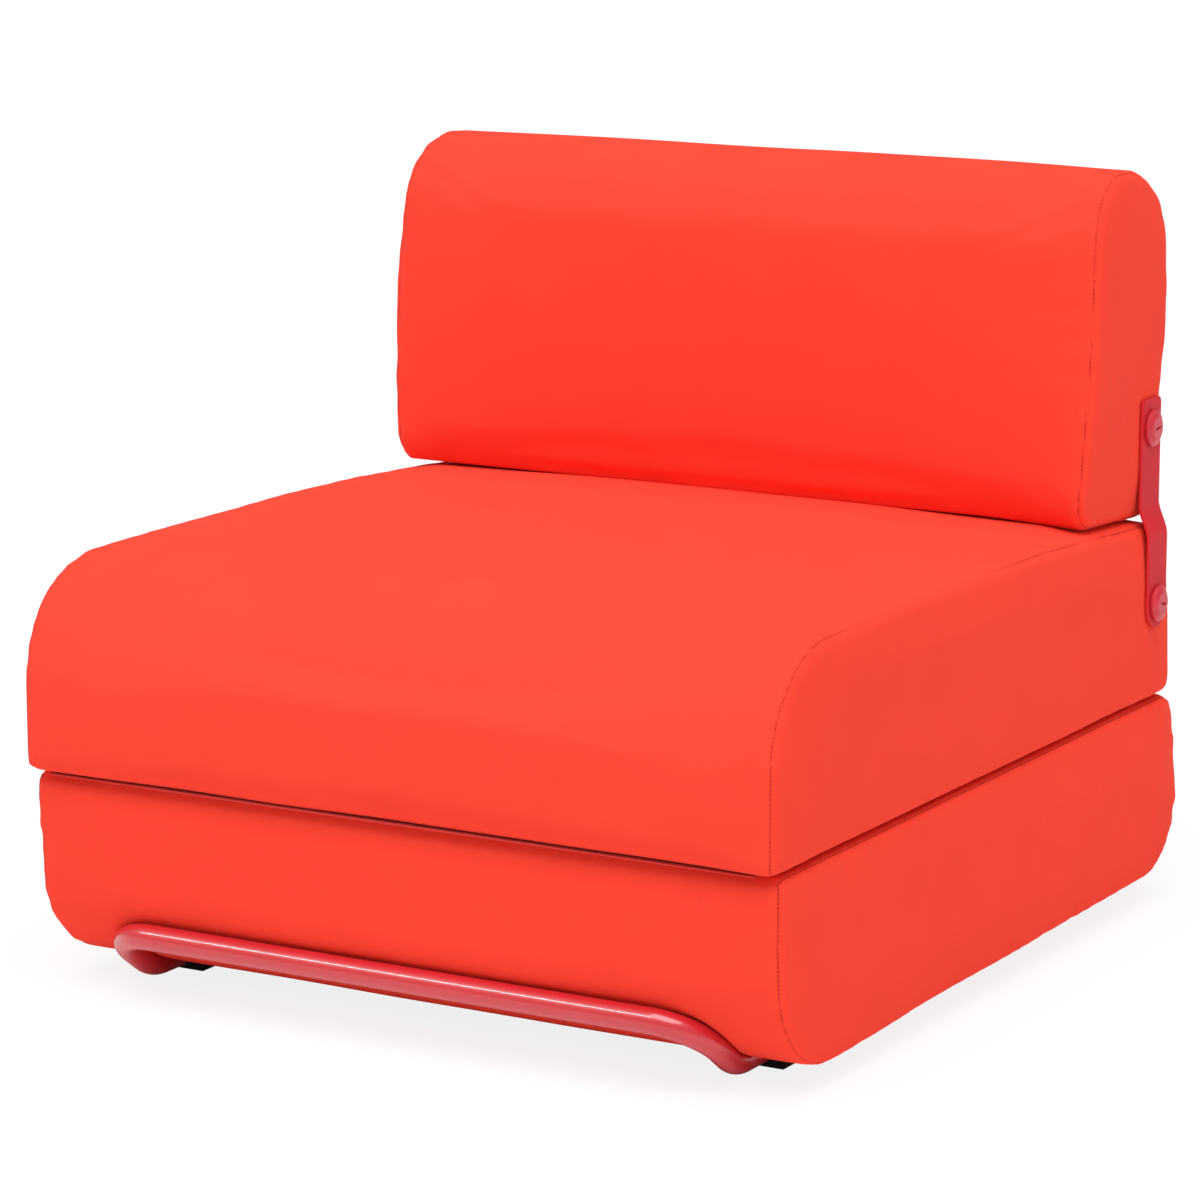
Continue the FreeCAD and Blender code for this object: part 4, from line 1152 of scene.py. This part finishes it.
@dataclass
class TubeFrame:
    """One tube bent into a raised front bar, two legs and two runners, with cross tubes."""

    radius: float = 0.0125
    bend: float = 0.050
    rail: float = 0.320
    rail_height: float = 0.0185
    rail_rear: float = 0.392
    rail_front: float = -0.363
    bar_y: float = -0.432
    bar_z: float = 0.069
    cross_places: tuple[float, float] = (-0.210, 0.300)
    weld_radius: float = 0.0022
    weld_ripples: int = 26
    plug_head: float = 0.003
    plug_round: float = 0.0012
    sides: int = 48

    def bent_route(self) -> np.ndarray:
        """The long tube's centre line, from the left runner's rear end to the right one's."""
        half = np.array(
            [
                [-self.rail, self.rail_rear, self.rail_height],
                [-self.rail, self.rail_front, self.rail_height],
                [-self.rail, self.bar_y, self.bar_z],
            ]
        )
        corners = np.concatenate([half, half[::-1] * np.array([-1, 1, 1])])
        return rounded_route(corners, self.bend, 0.004)

    def cross_route(self, place: float) -> np.ndarray:
        """A cross tube's centre line, its ends inside the runners' walls."""
        reach = self.rail - 0.004
        return np.array([[-reach, place, self.rail_height], [reach, place, self.rail_height]])

    def routes(self) -> list[np.ndarray]:
        """The centre lines of all three tubes."""
        return [self.bent_route()] + [self.cross_route(place) for place in self.cross_places]

    def weld(self, place: float, side: Side) -> np.ndarray:
        """A bead where a cross tube meets a runner.

        Two equal tubes of radius r meet where x = rail - r |cos a|, y = r cos a, z = r sin a;
        the bead's own radius ripples along that line.
        """
        angle = np.linspace(0, 2 * math.pi, 120, endpoint=False)
        cosine = np.sqrt(np.cos(angle) ** 2 + 0.03)
        x = (self.rail - self.radius * cosine) * side.value
        y = place + self.radius * np.cos(angle)
        z = self.rail_height + self.radius * np.sin(angle)
        route = np.column_stack([x, y, z])
        closed = np.concatenate([route[-1:], route, route[:1]])
        rings = tube_rings(closed, self.weld_radius, np.array([1.0, 0.0, 0.0]), 10)[1:-1]
        size = 1 + 0.16 * np.sin(angle * self.weld_ripples)[:, None, None]
        return route[:, None] + (rings - route[:, None]) * size

    def plug(self, side: Side) -> np.ndarray:
        """A plug's flat head with a rounded rim and a shallow dish, turned round Y."""
        corner = np.linspace(0, math.pi / 2, 6)
        rim = self.radius - self.plug_round
        profile = np.concatenate(
            [
                [[-0.004, self.radius * 0.80], [0.0, self.radius * 0.80], [0.0, self.radius]],
                np.column_stack(
                    [
                        self.plug_head - self.plug_round + self.plug_round * np.sin(corner),
                        rim + self.plug_round * np.cos(corner),
                    ]
                ),
                [[self.plug_head, rim * 0.72], [self.plug_head - 0.0006, rim * 0.62]],
                [[self.plug_head - 0.0006, 0.0002]],
            ]
        )
        rings = turned(profile, 40)
        place = np.array([self.rail * side.value, self.rail_rear, self.rail_height])
        return rings[:, :, [1, 0, 2]] + place

    def build(self, coat: bpy.types.Material, plastic: bpy.types.Material) -> None:
        """Builds and dresses the tubes, welds and plugs.

        Args:
            coat: The powder coat.
            plastic: The plugs' plastic.
        """
        lean = np.array([0.0, self.bar_z - self.rail_height, self.rail_front - self.bar_y])
        lean /= np.linalg.norm(lean)
        rings = tube_rings(self.bent_route(), self.radius, lean, self.sides)
        tube = ringed_piece("bent_frame_tube", [rings])
        dress(tube, coat, Body.BASE, ["tube_frame"], sharp=1.0)
        upward = np.array([0.0, 0.0, 1.0])
        for word, place in zip(("front", "rear"), self.cross_places):
            rings = tube_rings(self.cross_route(place), self.radius, upward, self.sides)
            tube = ringed_piece(f"{word}_cross_tube", [rings])
            dress(tube, coat, Body.BASE, [f"cross_tube_{word}"], sharp=1.0)
            beads = ringed_piece(
                f"{word}_cross_tube_welds", [self.weld(place, side) for side in Side], closed=True
            )
            dress(beads, coat, Body.BASE, sharp=math.pi)
        plugs = ringed_piece("tube_end_plugs", [self.plug(side) for side in Side])
        dress(plugs, plastic, Body.BASE, ["end_plugs"], sharp=0.9)


@dataclass
class Glides:
    """Four moulded glides under the runners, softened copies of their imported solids."""

    edge: float = 0.0014
    nodes: tuple[str, ...] = ("foot_front_left", "foot_front_right", "foot_rear_left", "foot_rear_right")

    def build(self, plastic: bpy.types.Material) -> None:
        """Builds and dresses each glide."""
        for node in self.nodes:
            piece = copied_node(node, node.replace("foot", "glide"))
            rounding = modify(piece, "BEVEL", width=self.edge, segments=3, limit_method="ANGLE")
            rounding.angle_limit = math.radians(40)
            dress(piece, plastic, Body.BASE, [node], sharp=0.6)


def copied_node(node: str, name: str) -> bpy.types.Object:
    """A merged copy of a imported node's mesh as a new piece, with its flat faces joined."""
    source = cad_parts[node].data
    shell = bmesh.new()
    shell.from_mesh(source)
    bmesh.ops.remove_doubles(shell, verts=shell.verts, dist=1e-5)
    bmesh.ops.dissolve_limit(shell, angle_limit=0.01, verts=shell.verts, edges=shell.edges)
    mesh = bpy.data.meshes.new(name)
    shell.to_mesh(mesh)
    shell.free()
    piece = bpy.data.objects.new(name, mesh)
    bpy.context.scene.collection.objects.link(piece)
    return piece


# Straps and studs


@dataclass
class Strap:
    """A strap from the seat's stud to the back's, which follows both side panels."""

    side: Side
    place: float = 0.356
    width: float = 0.046
    thick: float = 0.0035
    bottom: float = 0.298
    top: float = 0.531
    inside_low: float = 0.4105
    inside_high: float = 0.4005
    bend_low: float = 0.390
    bend_high: float = 0.4255
    corner: float = 0.007
    edge: float = 0.0011
    stud_heights: tuple[float, float] = (0.323, 0.501)
    pressed: float = 0.0003

    @property
    def body(self) -> Body:
        """The strap's own body."""
        return Body.STRAP_LEFT if self.side is Side.LEFT else Body.STRAP_RIGHT

    def half_widths(self, height: np.ndarray) -> np.ndarray:
        """Half the width at each height: a round lower end and an upper end with corners.

        sqrt(r^2 - (r - t)^2) within r of the lower tip, and w - c + sqrt(c^2 - (c - s)^2)
        within c of the top.
        """
        half = self.width / 2
        low = np.clip(half - (height - self.bottom), 0, half)
        high = np.clip(self.corner - (self.top - height), 0, self.corner)
        lower = np.sqrt(half**2 - low**2)
        return lower - self.corner + np.sqrt(self.corner**2 - high**2)

    def middle(self, height: np.ndarray) -> np.ndarray:
        """Distance of the strap's middle layer from the chair's middle: a smooth S bend."""
        share = np.clip((height - self.bend_low) / (self.bend_high - self.bend_low), 0, 1)
        bend = share**2 * (3 - 2 * share)
        inside = self.inside_low + (self.inside_high - self.inside_low) * bend
        return inside + self.thick / 2

    def rings(self) -> np.ndarray:
        """Rounded-rectangle rings from the lower tip to the upper end."""
        tip = self.width / 2 * (1 - np.cos(np.linspace(0.02, math.pi / 2, 26)))
        end = self.corner * (1 - np.cos(np.linspace(math.pi / 2, 0.05, 12)))
        between = np.arange(self.bottom + self.width / 2, self.top - self.corner, 0.0022)[1:]
        height = np.concatenate([self.bottom + tip, between, self.top - end])
        half = self.half_widths(height)[:, None]
        near_end = np.minimum(height - self.bottom, self.top - height)[:, None]
        swell = np.sqrt(1 - (1 - np.clip(near_end / self.edge, 0, 1)) ** 2)
        thin = self.thick / 2 * (0.35 + 0.65 * swell)
        angle = np.linspace(0, 2 * math.pi, 56, endpoint=False)
        squared_y = np.sign(np.cos(angle)) * np.abs(np.cos(angle)) ** 0.5
        squared_x = np.sign(np.sin(angle)) * np.abs(np.sin(angle)) ** 0.22
        inner = np.maximum(half - self.edge, 0) * np.abs(squared_y) ** 0.6 * np.sign(squared_y)
        depth = inner + np.minimum(half, self.edge) * squared_y
        offset = thin * squared_x
        centre = self.middle(height)[:, None]
        studs = np.array(self.stud_heights)[:, None, None]
        from_stud = np.hypot(depth[None], height[None, :, None] - studs)
        centre = centre - self.pressed * np.exp(-((from_stud / 0.020) ** 2)).sum(axis=0)
        x = (centre + offset) * self.side.value
        z = np.broadcast_to(height[:, None], x.shape)
        return np.dstack([x, self.place + depth, z])

    def build(self, finish: bpy.types.Material) -> None:
        """Builds and dresses the strap."""
        word = self.side.name.lower()
        piece = ringed_piece(f"{word}_strap", [self.rings()])
        dress(piece, finish, self.body, [f"strap_{word}"], sharp=1.1)


@dataclass
class Studs:
    """The pair of slotted studs of one cushion: bevelled heads on their shanks."""

    name: str
    body: Body
    head_inside: float
    height: float
    shank_end: float
    tilt: tuple[float, float]
    place: float = 0.356
    radius: float = 0.0185
    rim: float = 0.0032
    dome: float = 0.0034
    bevel: float = 0.007
    edge: float = 0.0006
    shank: float = 0.0045
    slot_length: float = 0.013
    slot_width: float = 0.0024
    slot_depth: float = 0.0016

    def head(self) -> np.ndarray:
        """Reach and radius from the shank's end, round the rim and in to the middle."""
        corner = np.linspace(0, 1, 5)[:, None]
        top = self.rim + self.dome
        flat = self.radius - self.bevel
        edge = self.edge
        rim = np.array([[self.rim - edge, self.radius], [self.rim + edge * 0.6, self.radius - edge]])
        lip = np.array([[top - edge * 0.5, flat + edge], [top, flat - edge]])
        face = np.column_stack([np.full(34, top), np.linspace(flat - edge, 0.00005, 35)[1:]])
        shank = np.array([[self.shank_end - self.head_inside, self.shank], [0.0, self.shank]])
        under = np.array([[0.0, self.radius - edge], [edge, self.radius]])
        slope = np.linspace(rim[1], lip[0], 8)[1:-1]
        soft_rim = rim[0] + (rim[1] - rim[0]) * corner
        return np.concatenate([shank, under, soft_rim, slope, lip, face])

    def rings(self, side: Side, tilt: float) -> np.ndarray:
        """One stud: the turned head, sunk by the slot's depth inside its slot."""
        rings = turned(self.head(), 120)
        y, z = rings[..., 1], rings[..., 2]
        along = y * math.cos(tilt) + z * math.sin(tilt)
        beside = z * math.cos(tilt) - y * math.sin(tilt)
        blur = 0.00035
        inside = np.clip((self.slot_width / 2 - np.abs(beside)) / blur + 0.5, 0, 1)
        inside *= np.clip((self.slot_length / 2 - np.abs(along)) / blur + 0.5, 0, 1)
        outer = rings[..., 0] > self.rim
        rings[..., 0] -= self.slot_depth * inside * outer
        place = np.array([self.head_inside * side.value, self.place, self.height])
        return rings * np.array([side.value, 1, 1]) + place

    def build(self, finish: bpy.types.Material) -> None:
        """Builds and dresses both studs."""
        rings = [self.rings(side, tilt) for side, tilt in zip(Side, self.tilt)]
        piece = ringed_piece(f"{self.name}_stud_heads", rings)
        dress(piece, finish, self.body, [f"{self.name}_studs"], sharp=0.5)


# Hinge and hidden parts


@dataclass
class Hinge:
    """The cloth hinge: a tape folded along the fold axis, one leaf on each cushion."""

    axis_y: float = -0.4482
    axis_z: float = 0.217
    recess: float = 0.0085
    depth: float = 0.0395
    half_length: float = 0.380
    leaf: float = 0.0005
    gap: float = 0.00035

    def rings(self) -> np.ndarray:
        """The folded tape's section carried along X.

        The section goes out along the lower leaf, round the fold and back along the upper
        one, and returns on the inside.
        """
        outer = self.gap / 2 + self.leaf
        inner = self.gap / 2
        fold = np.linspace(-math.pi / 2, math.pi / 2, 9)
        reach = np.linspace(self.depth, outer, 14)
        low = np.column_stack([reach, np.full(len(reach), -outer)])
        bend = np.column_stack([outer - outer * np.cos(fold), outer * np.sin(fold)])
        inside = np.column_stack([outer - inner * np.cos(fold[::-1]), inner * np.sin(fold[::-1])])
        high = low[::-1] * np.array([1, -1])
        back_high = np.column_stack([reach, np.full(len(reach), inner)])
        back_low = back_high[::-1] * np.array([1, -1])
        section = np.concatenate([low[:-1], bend, high[1:], back_high[:-1], inside, back_low[1:]])
        x = np.linspace(-self.half_length, self.half_length, 90)[:, None]
        fold_y = self.axis_y + self.recess
        y = fold_y + np.broadcast_to(section[:, 0], (len(x), len(section)))
        z = self.axis_z + np.broadcast_to(section[:, 1], (len(x), len(section)))
        return np.dstack([np.broadcast_to(x, y.shape), y, z])

    def build(self, finish: bpy.types.Material) -> None:
        """Builds the tape, which rides on no body, and bakes its placement into its mesh."""
        piece = ringed_piece("fold_hinge_tape", [self.rings()])
        dress(piece, finish, None, ["fold_hinge"], sharp=1.2)
        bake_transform(piece)


@dataclass
class InnerParts:
    """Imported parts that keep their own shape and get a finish: panel, bolts, plates, nuts."""

    finishes: tuple[tuple[str, Finish], ...] = (
        ("base_panel", BIRCH_PLY),
        ("frame_bolts", PLATED_STEEL),
        ("threaded_inserts", PLATED_STEEL),
        ("seat_anchor_plates", PLATED_STEEL),
        ("seat_stud_nuts", PLATED_STEEL),
        ("back_anchor_plates", PLATED_STEEL),
        ("back_stud_nuts", PLATED_STEEL),
    )

    def build(self) -> None:
        """Puts each part's finish into its material slots."""
        made = {finish.name: finish.material() for _, finish in self.finishes}
        for node, finish in self.finishes:
            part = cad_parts[node]
            part.data.materials.clear()
            part.data.materials.append(made[finish.name])
            log.info("%s: finish %s", node, finish.name)


# Studio


@dataclass
class Studio:
    """A pale floor, soft even light and the camera at the photograph's place."""

    camera_place: tuple[float, float, float] = (2.20671, -3.87223, 1.26041)
    azimuth: float = 30.0
    drop: float = 11.586
    lens: float = 138.48
    sensor: float = 36.0
    floor_half: float = 40.0
    floor_colour: float = 0.90
    floor_glow: float = 0.85
    sky: float = 0.55
    key: float = 3.0
    key_turn: tuple[float, float, float] = (22.0, 0.0, 22.0)
    key_angle: float = 50.0
    strip: float = 60.0
    strip_place: tuple[float, float, float] = (-1.71, -2.13, 2.33)
    strip_turn: tuple[float, float, float] = (37.0, 0.0, 0.0)
    strip_size: tuple[float, float] = (2.6, 0.25)

    def camera(self) -> None:
        """Places the camera."""
        data = bpy.data.cameras.new("camera")
        data.lens = self.lens
        data.sensor_width = self.sensor
        data.clip_end = 200.0
        eye = bpy.data.objects.new("camera", data)
        eye.location = self.camera_place
        turn = (math.radians(90 - self.drop), 0.0, math.radians(self.azimuth))
        eye.rotation_euler = Euler(turn, "XYZ")
        bpy.context.scene.collection.objects.link(eye)
        bpy.context.scene.camera = eye

    def floor(self) -> None:
        """Lays the floor, which glows towards the camera and still takes shadows."""
        half = self.floor_half
        corners = np.array([[-half, -half, 0], [half, -half, 0], [half, half, 0], [-half, half, 0]])
        plane = new_piece("floor", corners, [[0, 1, 2, 3]])
        finish = bpy.data.materials.new("floor")
        graph = Graph(finish)
        tint = graph.noise(graph.place(), 3.0)
        greys = [(self.floor_colour * share,) * 3 + (1.0,) for share in (1.0, 1.01)]
        pale = graph.blend(tint, *greys)
        lit = graph.node("ShaderNodeBsdfDiffuse", None, {"Color": pale})
        glow = graph.node("ShaderNodeEmission", None, {"Color": (1.0, 1.0, 1.0, 1.0)})
        seen = graph.node("ShaderNodeLightPath", None, None, "Is Camera Ray")
        graph.surface(
            graph.node("ShaderNodeMixShader", None, {0: seen * self.floor_glow, 1: lit, 2: glow})
        )
        plane.data.materials.append(finish)

    def world(self) -> None:
        """An even sky that is white where the camera sees it."""
        world = bpy.data.worlds.new("studio")
        bpy.context.scene.world = world
        graph = Graph(world)
        seen = graph.node("ShaderNodeLightPath", None, None, "Is Camera Ray")
        limits = {"Value": seen, "To Min": self.sky, "To Max": 1.0}
        strength = graph.node("ShaderNodeMapRange", None, limits)
        sky = graph.node("ShaderNodeBackground", None, {"Strength": strength})
        graph.surface(sky, "ShaderNodeOutputWorld")

    def lamp(
        self,
        name: str,
        kind: str,
        place: Sequence[float],
        turn: Sequence[float],
        energy: float,
        **more: Any,
    ) -> bpy.types.Object:
        """Adds a lamp that is turned by degrees about X, Y and Z."""
        data = bpy.data.lights.new(name, kind)
        data.energy = energy
        for key, value in more.items():
            setattr(data, key, value)
        lamp = bpy.data.objects.new(name, data)
        lamp.location = place
        lamp.rotation_euler = Euler([math.radians(a) for a in turn], "XYZ")
        bpy.context.scene.collection.objects.link(lamp)
        return lamp

    def build(self) -> None:
        """Sets up the whole studio."""
        self.camera()
        self.floor()
        self.world()
        above = (0.0, 0.0, 3.0)
        soft = math.radians(self.key_angle)
        self.lamp("key", "SUN", above, self.key_turn, self.key, angle=soft)
        shape = {"shape": "RECTANGLE", "size": self.strip_size[0], "size_y": self.strip_size[1]}
        strip = self.lamp("strip", "AREA", self.strip_place, self.strip_turn, self.strip, **shape)
        strip.visible_diffuse = False
        bpy.context.scene.view_settings.view_transform = "Standard"
        log.info("studio ready")


def main() -> None:
    """Builds the studio and every piece of the chair bed in order."""
    logging.basicConfig(level=logging.INFO, format="%(message)s")
    Studio().build()
    coat = FRAME_COAT.material()
    plastic = GLIDE_PLASTIC.material()
    tubes = TubeFrame()
    tubes.build(coat, plastic)
    Glides().build(plastic)
    InnerParts().build()
    cover = COVER.material()
    for cushion in (BaseCushion(tubes=tubes.routes()), SeatCushion(), BackCushion()):
        cushion.build(cover)
    Hinge().build(HINGE_CLOTH.material())
    webbing = STRAP_CLOTH.material()
    for side in Side:
        Strap(side).build(webbing)
    stud = STUD_PLASTIC.material()
    Studs("seat", Body.SEAT, 0.4143, 0.323, 0.3785, (0.2, -0.25)).build(stud)
    Studs("back", Body.BACK, 0.4043, 0.501, 0.3705, (-0.3, 0.15)).build(stud)


if __name__ == "__main__":
    main()
